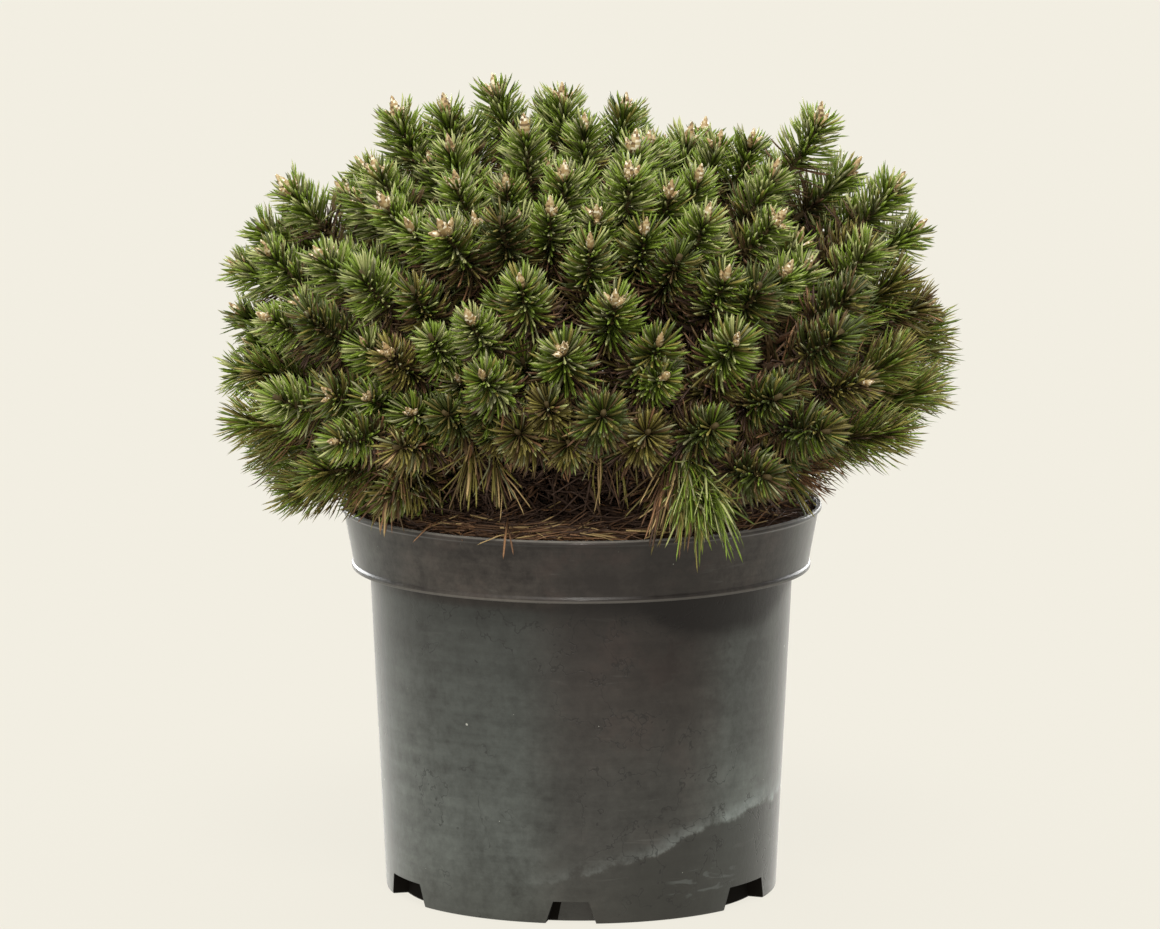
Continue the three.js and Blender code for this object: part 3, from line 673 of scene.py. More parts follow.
def frame_along(along, chord):
    """Two directions square to each step of lines, and to each other. They don't turn about the line."""
    across = square_to(chord)[:, None]
    u = unit(across - (across * along).sum(-1, keepdims=True) * along)
    return u, np.cross(along, u)


def swung(first, second, angle):
    """first turned towards second by an angle: first cos(angle) + second sin(angle)."""
    return first * np.cos(angle)[..., None] + second * np.sin(angle)[..., None]


def tubes(centres, radii):
    """Corners and faces of closed tubes. centres holds rows of points along each tube and radii a radius
    for each point and side. Each ring stands square to the line through it."""
    count, steps, sides = radii.shape
    u, v = frame_along(unit(np.gradient(centres, axis=1)), unit(centres[:, -1] - centres[:, 0]))
    ring = swung(u[:, :, None], v[:, :, None], np.arange(sides) * 2 * math.pi / sides)
    skin = centres[:, :, None] + ring * radii[..., None]
    corners = np.concatenate([centres[:, :1], skin.reshape(count, -1, 3), centres[:, -1:]], 1)
    faces = closed_grid(steps, sides)
    shift = (steps * sides + 2) * np.arange(count)[:, None, None]
    return corners.reshape(-1, 3), [(rows[None] + shift).reshape(-1, rows.shape[1]) for rows in faces]


def barked(radius, centres, sides, depth, seed):
    """A radius for each point and side, roughened: long ridges that wander round the limb, crossed by
    shallow steps."""
    a = np.arange(sides) * 2 * math.pi / sides
    random = np.random.default_rng(seed)
    phase = random.uniform(0, 6.3, (len(centres), 1, 1, 4))
    steps = np.diff(centres, axis=1, prepend=centres[:, :1])
    along = np.cumsum(np.linalg.norm(steps, axis=-1), 1)[:, :, None]
    ridges = np.sin(5 * a + 0.35 * along + phase[..., 0]) + np.sin(9 * a - 0.22 * along + phase[..., 1])
    plates = np.sin(1.1 * along + 2 * np.sin(3 * a + phase[..., 2]))
    plates = plates + np.sin(2.3 * along + 4 * a + phase[..., 3])
    return radius[:, :, None] * (1 + depth * (0.5 * ridges + 0.45 * plates))


bark_finish = finish("bark", Specular_IOR_Level=0.2)
place = place_on(bark_finish)
plates = place.cells(210.0, "DISTANCE_TO_EDGE")
stain = place.clouds(75.0, 5.0, 0.65)
wood = stain.between(0.35, 0.65).mix(srgb(74, 56, 44), srgb(128, 106, 88))
feed(
    bark_finish,
    Base_Color=plates.between(0.12, 0.0).mix(wood, srgb(52, 40, 33)),
    Roughness=0.75 + stain * 0.25,
    Normal=(plates.between(0.0, 0.25) + stain * 0.5).bump(0.7, 0.0012),
)

STEM_RINGS, STEM_SIDES = 46, 40
STEM_RADIUS, STEM_TAPER = 12, 3
FLARE, FLARE_FADE, ROOTS = 7.0, 8, 5  # at the mix, how soon it fades and its lobes
share = np.linspace(0, 1, STEM_RINGS)
stem_z = STEM_FOOT + (STEM_TOP - STEM_FOOT) * share
stem_line = np.stack([stem_lean(stem_z), 0 * stem_z, stem_z], -1)[None]
lobes = 1 + 0.35 * np.cos(ROOTS * np.arange(STEM_SIDES) * 2 * math.pi / STEM_SIDES)
flare = FLARE * np.exp(-np.clip(stem_z - SOIL, -2, None) / FLARE_FADE)
stem_radii = barked(np.full((1, STEM_RINGS), 1.0), stem_line, STEM_SIDES, 0.05, 21)
stem_radii = stem_radii * (STEM_RADIUS - STEM_TAPER * share[None, :, None] + flare[None, :, None] * lobes)
points, faces = tubes(stem_line, stem_radii)
stem = add_piece("stem_bark", points, faces, [bark_finish])
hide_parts("stem")

BOUGH_SIDES = 18
t = np.linspace(0, 1, 26)
bough_lines = bezier(bough_rows, t)
ends = np.array([m["ring"][5:] for m in masses], float)
bough_radii = ends[:, :1] + (ends[:, 1:] - ends[:, :1]) * t
points, faces = tubes(bough_lines, barked(bough_radii, bough_lines, BOUGH_SIDES, 0.08, 22))
boughs = add_piece("boughs_bark", points, faces, [bark_finish])
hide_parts(*[f"bough_{m['name']}" for m in masses])

# -------------------- shoots
# Where the crown's shoots stand and which way they point. The main ones follow the rule that the solids
# grow by, on a sunflower lattice of directions from the heart, and finer ones fill the widest gaps.

SHOOT_LENGTH = 52.0
SHOOT_LIFT, SHOOT_DROOP = 36.0, 12.0  # how far shoots turn up, and the lowest down, in degrees
# tip x, y, z, rise in degrees and how many times longer its needles are
LEADERS = [
    (138, -20, 457, 80, 1), (161, 10, 425, 68, 1), (184, -15, 418, 60, 1), (198, 0, 389, 38, 1),
    (189, -20, 365, 48, 1), (206, -15, 346, 20, 1.5), (209, 10, 316, 8, 1.6), (208, -10, 287, -2, 1.6),
    (100, 0, 444, 82, 1), (26, 15, 461, 84, 1), (-11, -10, 471, 86, 1), (-58, 20, 472, 84, 1),
    (-79, -10, 462, 84, 1), (-108, -10, 460, 78, 1), (-131, 15, 425, 52, 1), (-173, -10, 415, 50, 1),
    (-192, 5, 391, 46, 1), (-205, 5, 367, 28, 1), (-209, -5, 304, 8, 1), (-190, -20, 258, -18, 1.4),
    (70, -160, 242, -48, 1.6), (-116, -112, 240, -36, 1), (140, -56, 250, -12, 1),
]
# shoots that only fill gaps, the places drawn for each, and how long their needles are
FINER, FINER_TRIES, FINER_NEEDLES = 168, 14, 0.95
# shoots between the leaders, a little shorter than they are: tip x, y, z and rise in degrees
FILLERS = [
    (-142, 0, 413, 56), (-95, 5, 448, 74), (-66, 0, 458, 80), (46, 0, 441, 80), (81, 0, 443, 80),
    (164, 5, 402, 56), (166, -20, 388, 50), (172, 20, 372, 44), (-174, 10, 391, 44), (-199, 0, 322, 20),
    (-192, 0, 282, -2), (211, 0, 330, 14), (-176, -30, 238, -24),
]
# gaps in the crown's front, where no finer shoots grow: azimuth, elevation and half width in degrees
HOLLOWS = [(-69, 34, 9), (-51, 30, 9), (-35, 25, 7), (-83, 19, 9), (-60, 9, 9), (-103, 46, 6), (-149, 22, 7)]
HOLLOWS = np.array(HOLLOWS)
BARE = (-71, 4, 6)  # the same, where nothing finer stands at all
GROUND_AIR = POT_HEIGHT + 12  # the lowest that a shoot bends
CORE_SHARE = 0.57  # of a tip's distance from the heart, where its shoot leaves the mass's core


def smooth(value):
    """0 below 0, 1 above 1, and between them 3 value^2 - 2 value^3."""
    value = np.clip(value, 0, 1)
    return value * value * (3 - 2 * value)


def seeded(seed):
    """Park and Miller's small generator: each state is the last one times 48271, modulo 2^31 - 1."""
    state = seed * 7919 + 1
    while True:
        state = state * 48271 % 2147483647
        yield state / 2147483647


def skirt_of(azimuth):
    """The lowest elevation at which shoots grow, lifted over the openings."""
    lifts = []
    for middle, half, lift in OPENINGS:
        off = np.abs((azimuth - middle + 900) % 360 - 180)
        lifts.append(lift * smooth(1.6 - off / half))
    return np.max(lifts, axis=0) - CROWN["skirt"]


def axis_of(d):
    """Shoots lean outwards and turn up, and the lowest turn down."""
    elevation = elevation_of(d)
    rise = elevation + SHOOT_LIFT * smooth((elevation + 2) / 27) * np.cos(np.radians(elevation))
    return heading_of(azimuth_of(d), np.minimum(rise - SHOOT_DROOP * smooth((4 - elevation) / 14), 90))


def in_hollow(d):
    """Whether each direction points into one of the hollows."""
    return (d @ heading_of(HOLLOWS[:, 0], HOLLOWS[:, 1]).T > np.cos(np.radians(HOLLOWS[:, 2]))).any(-1)


def placed(rows, draw):
    """Tip, direction from the heart, own axis, roll and needle size of shoots whose tips are given."""
    found = []
    for x, y, z, rise, longer in rows:
        tip = np.array([x, y, z], float)
        d = unit(tip - HEART)
        found.append((tip, d, heading_of(azimuth_of(d), rise), next(draw) * math.pi, longer))
    return found


def main_shoots():
    """The shoots of the solids, with the same five values each."""
    draw = seeded(CROWN["seed"])
    found = placed(LEADERS, draw)
    led = np.array([row[1] for row in found])
    room = math.cos(math.radians(7))  # round a leader's direction
    lowest = math.sin(math.radians(CROWN["skirt"]))
    for i in range(CROWN["shoots"]):
        draws = [next(draw) for _ in range(4)]
        sine = 1 - (i + 0.5) / CROWN["shoots"] * (1 + lowest)
        elevation = math.degrees(math.asin(sine)) + (draws[0] - 0.5) * CROWN["stray"]
        azimuth = (i * 180 * (3 - math.sqrt(5))) % 360 + (draws[1] - 0.5) * CROWN["stray"]
        d = heading_of(azimuth, elevation)
        if elevation < skirt_of(azimuth) or (led @ d).max() > room:
            continue
        tip = HEART + d * reach_of(d) * (1 + (draws[2] - CROWN["even"]) * CROWN["scatter"])
        found.append((tip, d, axis_of(d), draws[3] * math.pi, 1))
    return found


def finer_shoots(found):
    """Each takes the place that lies furthest from all others, of some that are drawn at random."""
    draw = seeded(CROWN["seed"] + 1)
    added = placed([(*row, FINER_NEEDLES) for row in FILLERS], draw)
    places = [row[1] for row in found + added]
    for _ in range(FINER):
        tries = np.array([(360 * next(draw), next(draw)) for _ in range(FINER_TRIES)])
        low = skirt_of(tries[:, 0]) - 3
        elevation = np.degrees(np.arcsin(np.sin(np.radians(low)) * (1 - tries[:, 1]) + tries[:, 1]))
        d = heading_of(tries[:, 0], elevation)
        nearest = (d @ np.array(places).T).max(1) + in_hollow(d)
        d = d[nearest.argmin()]
        places.append(d)
        if d @ heading_of(*BARE[:2]) > math.cos(math.radians(BARE[2])):
            continue
        share = 0.74 + 0.06 * smooth((elevation_of(d) - 15) / 35) + 0.09 * d[1] ** 2 + 0.13 * next(draw)
        tip = HEART + d * reach_of(d) * share
        added.append((tip, d, axis_of(d), next(draw) * math.pi, FINER_NEEDLES))
    return added


def depth_in(mass, point):
    """How far a point lies inside a mass's space: its distance to the nearest wall of that space."""
    others = np.delete(mass_axes, mass, axis=0)
    return (unit(mass_axes[mass] - others) @ (point - HEART)).min()


def shoot_curve(mass, tip, axis):
    """Root, bend and tip of a shoot: out of the mass's inside, turning until it points along its axis. Its
    tip draws in until it is 7 mm inside the mass, and its bend until that is 4 mm inside and off the pot."""
    tip = tip.copy()
    inward = mass_axes[mass] * np.linalg.norm(tip - HEART) + HEART
    for _ in range(12):
        if depth_in(mass, tip) < 7:
            tip += (inward - tip) * 0.04
    inside = unit(unit(tip - HEART) * 0.7 + mass_axes[mass] * 0.3)
    root = inside * np.linalg.norm(tip - HEART) * CORE_SHARE + HEART
    bend = tip - axis * SHOOT_LENGTH * 0.6
    for _ in range(12):
        if depth_in(mass, bend) < 4 or bend[2] < GROUND_AIR:
            bend += ((tip + root) / 2 - bend) * 0.2
    return np.array([root, bend, tip])


main = main_shoots()
shoots = main + finer_shoots(main)
SHOOTS = len(shoots)
is_main = np.arange(SHOOTS) < len(main)
shoot_d = np.array([row[1] for row in shoots])
shoot_up = elevation_of(shoot_d)
shoot_roll = np.array([row[3] for row in shoots])
shoot_long = np.array([row[4] for row in shoots], float)
# the needles are longer in two parts of the crown, whose middles are azimuth, elevation and how much longer
LUSH = [(-8, 4, 0.5), (196, -12, 0.4)]
for azimuth, elevation, longer in LUSH:
    near = smooth((shoot_d @ heading_of(azimuth, elevation) - math.cos(math.radians(31))) / 0.09)
    shoot_long = np.maximum(shoot_long, 1 + longer * near)
shoot_long[5] = 1.12  # the sixth leader stands above the long ones
vigour = np.random.default_rng(40).uniform(0.84, 1.1, SHOOTS)
vigour[: len(LEADERS)] = 1
HANGING = len(LEADERS) - np.arange(3, 0, -1)  # the last three leaders hang over the rim
# how far the needles stand off: long ones, and those of a hanging shoot, are drawn in along it
gather = np.interp(shoot_long, [1, 1.5], [1, 0.7])
gather[HANGING[0]] = 0.5
shoot_mass = (shoot_d @ mass_axes.T).argmax(1)
shoot_rows = np.array([shoot_curve(m, row[0], row[2]) for m, row in zip(shoot_mass, shoots)])
shoot_steps = np.diff(bezier(shoot_rows, np.linspace(0, 1, 17)), axis=1)
shoot_whole = np.linalg.norm(shoot_steps, axis=-1).sum(1)  # the length of its curve

# -------------------- twigs
# Old wood runs from each bough's tip to the root of every shoot, and the shoot's own twig goes on from it.
# The young part is ribbed by the cushions that the needles stand on, and coloured dark as painted shade among
# its needles.

TWIG_STEPS, TWIG_SIDES = 22, 7
INTO_BUD = 9.0  # twigs end this far short of the shoot's tip, inside the bud
grow = np.linspace(0, 1, TWIG_STEPS)
bough_end, onward = bough_rows[shoot_mass, 2], mass_axes[shoot_mass]
old_wood = np.stack([bough_end - onward * 6, bough_end + onward * 22, shoot_rows[:, 0]], 1)
half = TWIG_STEPS // 2
bud_share = 1 - INTO_BUD / shoot_whole
old_part = bezier(old_wood, np.linspace(0, 1, half, endpoint=False))
young_part = bezier(shoot_rows, np.linspace(0, 1, TWIG_STEPS - half)[None] * bud_share[:, None])
lines = np.concatenate([old_part, young_part], 1)
thick = np.interp(grow, [0, 0.5, 0.85, 1], [2.9, 2.2, 1.9, 1.6])[None] * np.where(is_main, 1.0, 0.85)[:, None]
points, faces = tubes(lines, barked(thick, lines, TWIG_SIDES, 0.12, 31))
twig_finishes = [
    plain("twig_grey", (104, 84, 68), 0.8, 0.2),
    plain("twig_brown", (82, 58, 42), 0.8, 0.2),
    plain("twig_young_shaded", (70, 60, 38), 0.7, 0.2),
]
random = np.random.default_rng(32)
quads = random.choice(2, (SHOOTS, TWIG_STEPS - 1, TWIG_SIDES), p=[0.55, 0.45])
# the young part takes a dark finish, painted shade among the needles
quads[:, half + 4 :] = 2
marks = np.concatenate([quads.ravel(), np.repeat([0, 2], SHOOTS * TWIG_SIDES)])
twigs = add_piece("twigs", points, faces, twig_finishes, marks)

# -------------------- needles
# Stiff needles in pairs, set spirally round each shoot like a bottle brush and drawn forward round the
# bud. Those more than a year back, and the year before's that stand off further down the twig, are
# darker, partly with age and partly as painted shade on the shoot's flank, and some have turned brown.

needle_finishes = [
    plain("needle_bright", (155, 160, 103), 0.46, 0.4),
    plain("needle_fresh", (112, 132, 48), 0.46, 0.4),
    plain("needle_mid", (88, 103, 38), 0.46, 0.4),
    plain("needle_deep", (66, 73, 36), 0.46, 0.4),
    plain("needle_pale", (130, 130, 96), 0.42, 0.45),
    plain("needle_olive", (128, 120, 62), 0.5, 0.35),
    plain("needle_moss", (100, 92, 51), 0.5, 0.35),
    plain("needle_old", (84, 68, 45), 0.55, 0.3),
    *dead_finishes,
]
# the share of each finish, in the order above, in a spray of each kind
TONES = {
    "sunny": (31, 38, 18, 3, 7, 2, 1),
    "plain": (15, 24, 30, 10, 10, 8, 5),
    "shade": (2, 10, 25, 21, 5, 16, 15, 6),
    "worn": (3, 1, 3, 3, 6, 28, 32, 20, 2, 2),
    "dim": (0, 2, 16, 46, 2, 6, 19, 9),
    "dim worn": (2, 0, 2, 16, 4, 22, 34, 16, 2, 2),
    "lush": (8, 22, 20, 8, 0, 26, 16, 3),
    "yellow": (17, 9, 14, 3, 9, 25, 18, 3, 0, 1, 1),
    "yellow worn": (7, 0, 2, 3, 9, 33, 27, 9, 3, 3, 6),
    "older": (0, 0, 4, 22, 0, 0, 26, 32, 2, 14),
    "aged": (0, 0, 1, 8, 0, 0, 15, 34, 2, 13, 1, 26),
    "spent": (0, 0, 0, 0, 0, 0, 16, 28, 9, 21, 9, 17),
    "dead": (0, 0, 0, 0, 0, 0, 4, 10, 30, 36, 20),
}


CUSHION, PAIR = 1.3, 0.45  # how far needles root from the twig's middle, and half the room between two
A_YEAR = 37  # needles that root further than this from the tip are a year older


def spirals(random, count, first, last, spread, sizes, roll):
    """Where and how pairs of needles stand on each shoot: count places between two shares of its curve,
    each turned on by the golden angle. spread gives the angles that they stand off at both ends, times
    the shoot's gather, and sizes their lengths. Returns start, along, out, length and shoot of each."""
    shape = (SHOOTS, count)
    step = (np.arange(count)[None] + 0.5) / count + random.normal(0, 0.3 / count, shape)
    t = first[:, None] + (last - first)[:, None] * np.clip(step, 0, 1)
    at = bezier(shoot_rows, t)
    along = unit(bezier(shoot_rows, t + 0.01) - at)
    u, v = frame_along(along, unit(shoot_rows[:, 2] - shoot_rows[:, 0]))
    a = roll[:, None] + np.arange(count)[None] * math.radians(137.5) + random.normal(0, 0.2, shape)
    out = swung(u, v, a)
    side = np.cross(along, out)
    off = (spread[0] + (spread[1] - spread[0]) * np.clip(step, 0, 1) ** 1.6) * gather[:, None]
    off = off + random.normal(0, 0.12, shape)
    size = sizes[0] + (sizes[1] - sizes[0]) * np.clip(step, 0, 1) + random.normal(0, 1.5, shape)
    found = []
    for sign in (-1, 1):
        fork = sign * random.uniform(0.04, 0.16, shape)[..., None]
        way = unit(swung(along, out, off) + side * fork)
        root = at + out * CUSHION + side * sign * PAIR
        found.append([root, way, unit(swung(out, along, -off)), size * random.uniform(0.93, 1.05, shape)])
    owner = np.repeat(np.arange(SHOOTS)[:, None], 2 * count, 1)
    return *(np.concatenate([f[i] for f in found], 1) for i in range(4)), owner


def clear_of_pot(points):
    """Whether each point is over the rim or further out than it."""
    return (points[..., 2] > POT_HEIGHT + 4) | (np.hypot(points[..., 0], points[..., 1]) > RIM + 4)


random = np.random.default_rng(41)
# painted light and shade: sprays that face the key lamp, up and to the left, or stand at the crown's sides
# and upper right take the brighter tones, and the rest darker ones
light_facing = shoot_d @ unit(np.array([-0.36, -0.25, 0.85])) + random.normal(0, 0.16, SHOOTS)
light_facing += 0.5 * smooth((shoot_d[:, 0] - 0.25) / 0.3) * smooth((shoot_d[:, 2] - 0.35) / 0.3)
light_facing += 0.3 * smooth((np.abs(shoot_d[:, 0]) - 0.7) / 0.25)
tone_of = np.select([light_facing > 0.74, light_facing > 0.5], ["sunny", "plain"], "shade").astype(object)
# low shoots take yellowed tones, partly real yellowing and partly painted warm shade, and low ones in front
# take dim tones as painted shade
low = shoot_up < 10
tone_of[low & (random.uniform(size=SHOOTS) < 0.7)] = "yellow"
front_low = (shoot_up < 18) & (np.abs(azimuth_of(shoot_d) + 78) < 47)
tone_of[front_low & (random.uniform(size=SHOOTS) < 0.8)] = "dim"
worn = np.random.default_rng(43).uniform(size=SHOOTS) < np.where(shoot_up < 42, 0.62, 0.45)
for fresh_tone, worn_tone in (("shade", "worn"), ("dim", "dim worn"), ("yellow", "yellow worn")):
    tone_of[worn & (tone_of == fresh_tone)] = worn_tone
tone_of[shoot_long > 1.15] = "lush"
# shoots in the hollows take dim tones: painted shade
tone_of[in_hollow(shoot_d)] = "dim"
tone_of[HANGING] = ["plain", "yellow", "dead"]

YOUNG, OLD = 94, 30  # pairs on the last year's part of a shoot and on the part below it
young_from, young_to = 1 - (SHOOT_LENGTH - 2) / shoot_whole, 1 - 15.0 / shoot_whole
young = spirals(random, YOUNG, young_from, young_to, (1.2, 0.8), (21.5, 15.5), shoot_roll)
old_from, old_to = np.full(SHOOTS, 0.04), 1 - (SHOOT_LENGTH - 8) / shoot_whole
old = spirals(random, OLD, old_from, old_to, (1.45, 1.3), (23.0, 22.0), shoot_roll + 1)
layers = []
for layer, (start, way, facing, length, owner) in enumerate((young, old)):
    length = length * (shoot_long * vigour)[owner]
    whole = way * length[..., None]
    keep = clear_of_pot(start + whole) & clear_of_pot(start + whole * 0.6)
    # needles rooted more than a year back take older, darker tones: partly age and partly painted shade down
    # the shoot's flank
    deep = np.linalg.norm(shoot_rows[owner, 2] - start, axis=-1) > A_YEAR
    aged = np.where(shoot_up[owner] < 42, "aged", "older")
    tones = np.where(deep & (tone_of[owner] != "lush"), aged, tone_of[owner])
    tones = np.where(layer == 1, np.where(low[owner], "spent", aged), tones)
    tones = np.where(tone_of[owner] == "dead", "dead", tones)
    layers.append([rows[keep] for rows in (start, way, facing, length, owner, tones)])

# the masses' needles are joined in turn into pieces of fewer than this many triangles
PIECE_MOST, NEEDLE_FACES = 190000, 10
owners = np.concatenate([rows[4] for rows in layers])
budgets = NEEDLE_FACES * np.bincount(shoot_mass[owners], minlength=len(masses))
groups, load = [[]], 0
for mass in range(len(masses)):
    if load + budgets[mass] > PIECE_MOST:
        groups.append([])
        load = 0
    groups[-1].append(mass)
    load += budgets[mass]

for number, group in enumerate(groups, 1):
    corners, triangles, kinds, base = [], [], [], 0
    for start, way, facing, length, owner, tones in layers:
        mine = np.isin(shoot_mass[owner], group)
        count = mine.sum()
        points, faces, each = needles(
            *(rows[mine] for rows in (start, way, facing, length)),
            random.uniform(1.45, 2.1, count) * np.interp(shoot_long[owner[mine]], [1, 1.5], [1, 0.6]),
            random.normal(0.25, 0.16, count),
            (0.0, 0.8),
        )
        colour = np.zeros(count, int)
        for tone, odds in TONES.items():
            here = tones[mine] == tone
            colour[here] = random.choice(len(odds), here.sum(), p=np.array(odds) / sum(odds))
        corners.append(points)
        triangles.append(faces + base)
        kinds.append(np.repeat(colour, each))
        base += len(points)
    joined = np.vstack(corners), [np.vstack(triangles)]
    piece = add_piece(f"needles_{number}", *joined, needle_finishes, np.concatenate(kinds))
    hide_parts(*[f"foliage_{masses[m]['name']}" for m in group])

# -------------------- buds
# Winter buds close each shoot: a long one at its end, with up to four shorter ones round it. Their
# scales are rosy brown with frayed pale edges, stuck together with whitish resin.

random = np.random.default_rng(51)
BUD_BASE = 13.5  # from the tip
bud_at = bezier(shoot_rows, (1 - BUD_BASE / shoot_whole)[:, None])[:, 0]
bud_ahead = unit(shoot_rows[:, 2] - bud_at)
most = np.where(is_main, 4, 3)
place_in = np.arange(5)[None]
beside = (random.uniform(size=(SHOOTS, 1)) ** 0.8 * (most[:, None] + 1)).astype(int)
has = (place_in == 0) | (place_in <= beside)
high = smooth((shoot_up - 12) / 34)
has &= (place_in == 0) | (random.uniform(size=(SHOOTS, 5)) < (0.35 + 0.65 * high)[:, None])
for sure, odds in ((shoot_up > 13, 0.25), (is_main, 0.78), (shoot_up > 38, 0.76)):
    has &= (sure | (random.uniform(size=SHOOTS) < odds))[:, None]
has[(shoot_long > 1.15) | in_hollow(shoot_d)] = False
has[HANGING] = False
owner, kind = np.nonzero(has)
ahead, count = bud_ahead[owner], len(owner)
u = square_to(ahead)
a = kind * 1.7 + shoot_roll[owner] * 2 + random.normal(0, 0.3, count)
ring = swung(u, np.cross(ahead, u), a)
lean = np.where(kind == 0, random.normal(0, 0.06, count), random.uniform(0.45, 0.95, count))
bud_way = unit(swung(ahead, ring, lean))
bud_root = bud_at[owner] + ring * np.where(kind == 0, 0, 1.2)[:, None] - ahead * 1.0
bud_length = np.where(kind == 0, random.uniform(12.5, 17, count), random.uniform(8.5, 12.5, count))
bud_length *= (0.67 + 0.22 * high[owner]) * np.where(is_main[owner], 1, 0.86)
bud_wide = bud_length * random.uniform(0.14, 0.18, count) + 0.6
BUD_STEPS, BUD_SIDES = 11, 8
s = np.linspace(0, 1, BUD_STEPS)
swell = np.interp(s, [0, 0.12, 0.35, 0.6, 0.85, 1], [0.55, 0.82, 1.0, 0.86, 0.42, 0.12])
lines = bud_root[:, None] + bud_way[:, None] * (bud_length[:, None] * s)[..., None]
scales = 1 + 0.16 * np.where((np.arange(BUD_STEPS)[:, None] + np.arange(BUD_SIDES)[None]) % 2, 1, -0.6)
radii = bud_wide[:, None, None] * swell[None, :, None] * scales[None]
points, faces = tubes(lines, radii)
BUD_ODDS = [0.4, 0.28, 0.12, 0.2]  # of each finish
bud_finishes = [
    plain("bud_rose", (154, 129, 90), 0.5, 0.4),
    plain("bud_tan", (179, 161, 122), 0.5, 0.4),
    plain("bud_resin", (222, 211, 186), 0.35, 0.5),
    plain("bud_brown", (104, 84, 58), 0.55, 0.35),
]
quads = random.choice(4, (count, BUD_STEPS - 1, BUD_SIDES), p=BUD_ODDS)
quads[:, :2] = random.choice([0, 3], (count, 2, BUD_SIDES))
tops = random.choice([1, 2], count * BUD_SIDES)
marks = np.concatenate([quads.ravel(), np.full(count * BUD_SIDES, 3), tops])
buds = add_piece("buds", points, faces, bud_finishes, marks)

# -------------------- withered sprays
# Under the skirt the oldest needles have withered on the wood. They hang in straw and rust coloured sprays
# into the hollow at the front, among thin dead side twigs that have lost theirs.

random = np.random.default_rng(61)
# base x, y, z, heading in degrees, dip in degrees, needles, how far they spread, their length and tone
SPRAYS = [
    (-62, -124, 271, 258, 62, 50, 0.6, 29, "straw"),
    (-48, -128, 266, 278, 66, 34, 0.7, 29, "straw"),
    (-102, -98, 262, 232, 56, 40, 0.7, 28, "straw"),
    (-116, -86, 254, 222, 46, 38, 0.55, 31, "green"),
    (-108, -104, 250, 240, 70, 22, 0.5, 28, "rust"),
    (-14, -112, 276, 285, 36, 18, 1.0, 28, "rust"),
    (-26, -96, 278, 250, 30, 26, 1.0, 24, "rust"),
    (10, -116, 266, 268, 66, 9, 0.32, 34, "straw"),
    (22, -112, 266, 280, 72, 6, 0.25, 33, "straw"),
    (46, -140, 256, 250, 62, 26, 0.5, 36, "rust"),
    (54, -146, 252, 268, 70, 22, 0.5, 34, "straw"),
    (58, -138, 272, 282, 54, 46, 0.5, 34, "fresh"),
    (74, -158, 256, 300, 58, 44, 0.5, 38, "fresh"),
    (60, -154, 256, 256, 64, 34, 0.5, 37, "fresh"),
    (66, -150, 250, 272, 78, 24, 0.45, 36, "green"),
    (96, -108, 256, 312, 40, 34, 0.7, 26, "rust"),
    (118, -84, 254, 322, 36, 30, 0.7, 26, "green"),
]
SPRAY_TONES = {
    "straw": (0, 0, 0, 0, 8, 24, 18, 10, 5, 9, 22, 4),
    "rust": (0, 0, 0, 0, 0, 0, 10, 20, 24, 30, 8, 8),
    "green": (2, 6, 17, 9, 5, 30, 18, 5, 2, 2, 6),
    "fresh": (17, 26, 24, 10, 4, 14, 8, 0, 1, 1),
}
parts = []
for x, y, z, heading, dip, count, wide, length, tone in SPRAYS:
    way = heading_of(heading, -dip)
    across = unit(np.cross(way, [0.0, 0.0, 1.0]))
    upper = np.cross(across, way)
    off = np.abs(random.normal(0, wide, count))
    ring = swung(across, upper, random.uniform(0, 2 * math.pi, count))
    start = np.array([x, y, z]) + way * random.uniform(-20, 3, count)[:, None] + ring * 1.2
    along = unit(swung(way, ring, off))
    out = unit(np.cross(np.cross(along, ring + way * 1e-3), along))
    odds = np.array(SPRAY_TONES[tone], float)
    lengths = length * random.uniform(0.75, 1.1, count)
    parts.append((start, along, out, lengths, random.choice(len(odds), count, p=odds / odds.sum())))
start, along, out, length, colour = (np.concatenate([part[i] for part in parts]) for i in range(5))
tips = start + along * length[:, None]
on_mix = (tips[:, 2] > mix_top(*tips[:, :2].T) + 1) & (np.hypot(*tips[:, :2].T) < mix_rim - 2)
keep = clear_of_pot(tips) | on_mix
kept = (rows[keep] for rows in (start, along, out, length))
wide, bend = random.uniform(1.3, 1.8, keep.sum()), random.normal(0.1, 0.3, keep.sum())
points, faces, each = needles(*kept, wide, bend)
sprays = add_piece("withered_sprays", points, [faces], needle_finishes, np.repeat(colour[keep], each))

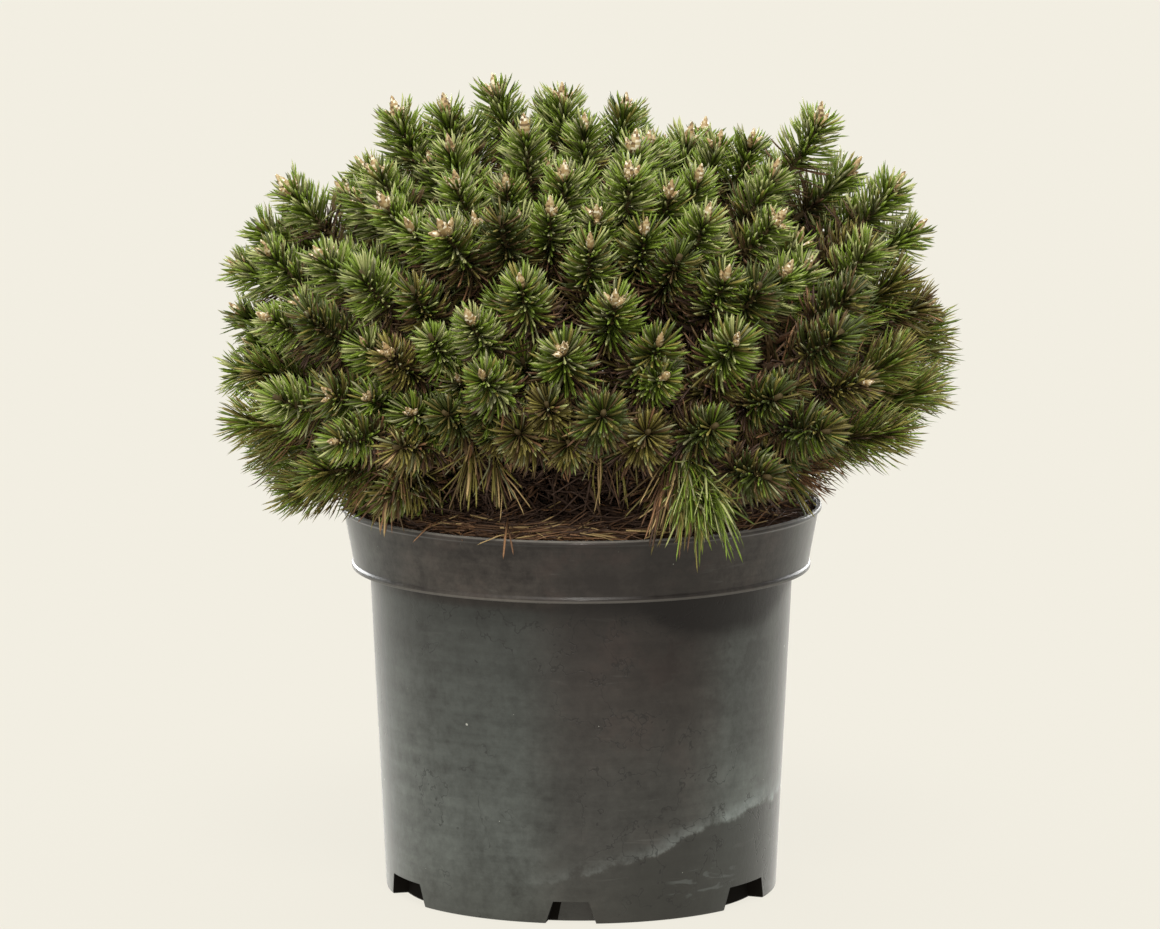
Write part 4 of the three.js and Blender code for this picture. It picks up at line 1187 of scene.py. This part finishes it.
# needles that fell inside the crown and lodged round the boughs in a loose thatch, mostly dark brown: dead
# needles, and a dark mass set there that paints the shade of the hollow
THATCH = 2400
turns = random.uniform(0, 2 * math.pi, THATCH)
away = random.uniform(40, 108, THATCH)
at = np.column_stack([away * np.cos(turns), away * np.sin(turns), random.uniform(240, 286, THATCH)])
lie = unit(random.normal(size=(THATCH, 3)) * [1.0, 1.0, 0.8])
out = unit(np.cross(lie, random.normal(size=(THATCH, 3))))
length, wide = random.uniform(24, 32, THATCH), random.uniform(1.4, 2.0, THATCH)
bend = random.normal(0, 0.3, THATCH)
points, faces, each = needles(at - lie * 14, lie, out, length, wide, bend, (0.0, 0.8))
marks = np.repeat(random.choice([1, 3], THATCH, p=[0.15, 0.85]), each)
thatch = add_piece("inner_thatch", points, [faces], dead_finishes, marks)

DEAD_TWIGS, DEAD_STEPS, DEAD_SIDES = 70, 9, 6
turns = random.uniform(0, 2 * math.pi, DEAD_TWIGS)
lifted = random.uniform(-9, 12, DEAD_TWIGS)
root = HEART + heading_of(np.degrees(turns), lifted) * random.uniform(60, 105, DEAD_TWIGS)[:, None]
way = heading_of(np.degrees(turns + random.normal(0, 0.5, DEAD_TWIGS)), lifted * 0 - 8)
way = unit(way + random.normal(0, 0.25, (DEAD_TWIGS, 3)))
size = random.uniform(28, 62, DEAD_TWIGS)[:, None]
sag = random.normal(0, 0.09, (DEAD_TWIGS, 3)) * size
rows = np.stack([root, root + way * size * 0.5 + sag, root + way * size], 1)
x, y, z = np.moveaxis(rows, -1, 0)
lowest = np.maximum(np.maximum(z, mix_top(x, y) + 3), POT_HEIGHT + 6)
rows[..., 2] = np.where(np.hypot(x, y) < RIM + 6, lowest, z)
t = np.linspace(0, 1, DEAD_STEPS)
lines = bezier(rows, t)
thick = np.interp(t, [0, 1], [1.3, 0.5])[None] * random.uniform(0.7, 1.2, DEAD_TWIGS)[:, None]
points, faces = tubes(lines, barked(thick, lines, DEAD_SIDES, 0.1, 62))
side_marks = np.repeat(random.choice(2, DEAD_TWIGS), (DEAD_STEPS - 1) * DEAD_SIDES)
marks = np.concatenate([side_marks, np.zeros(DEAD_TWIGS * 2 * DEAD_SIDES, int)])
dead_twigs = add_piece("dead_twigs", points, faces, twig_finishes[:2], marks)
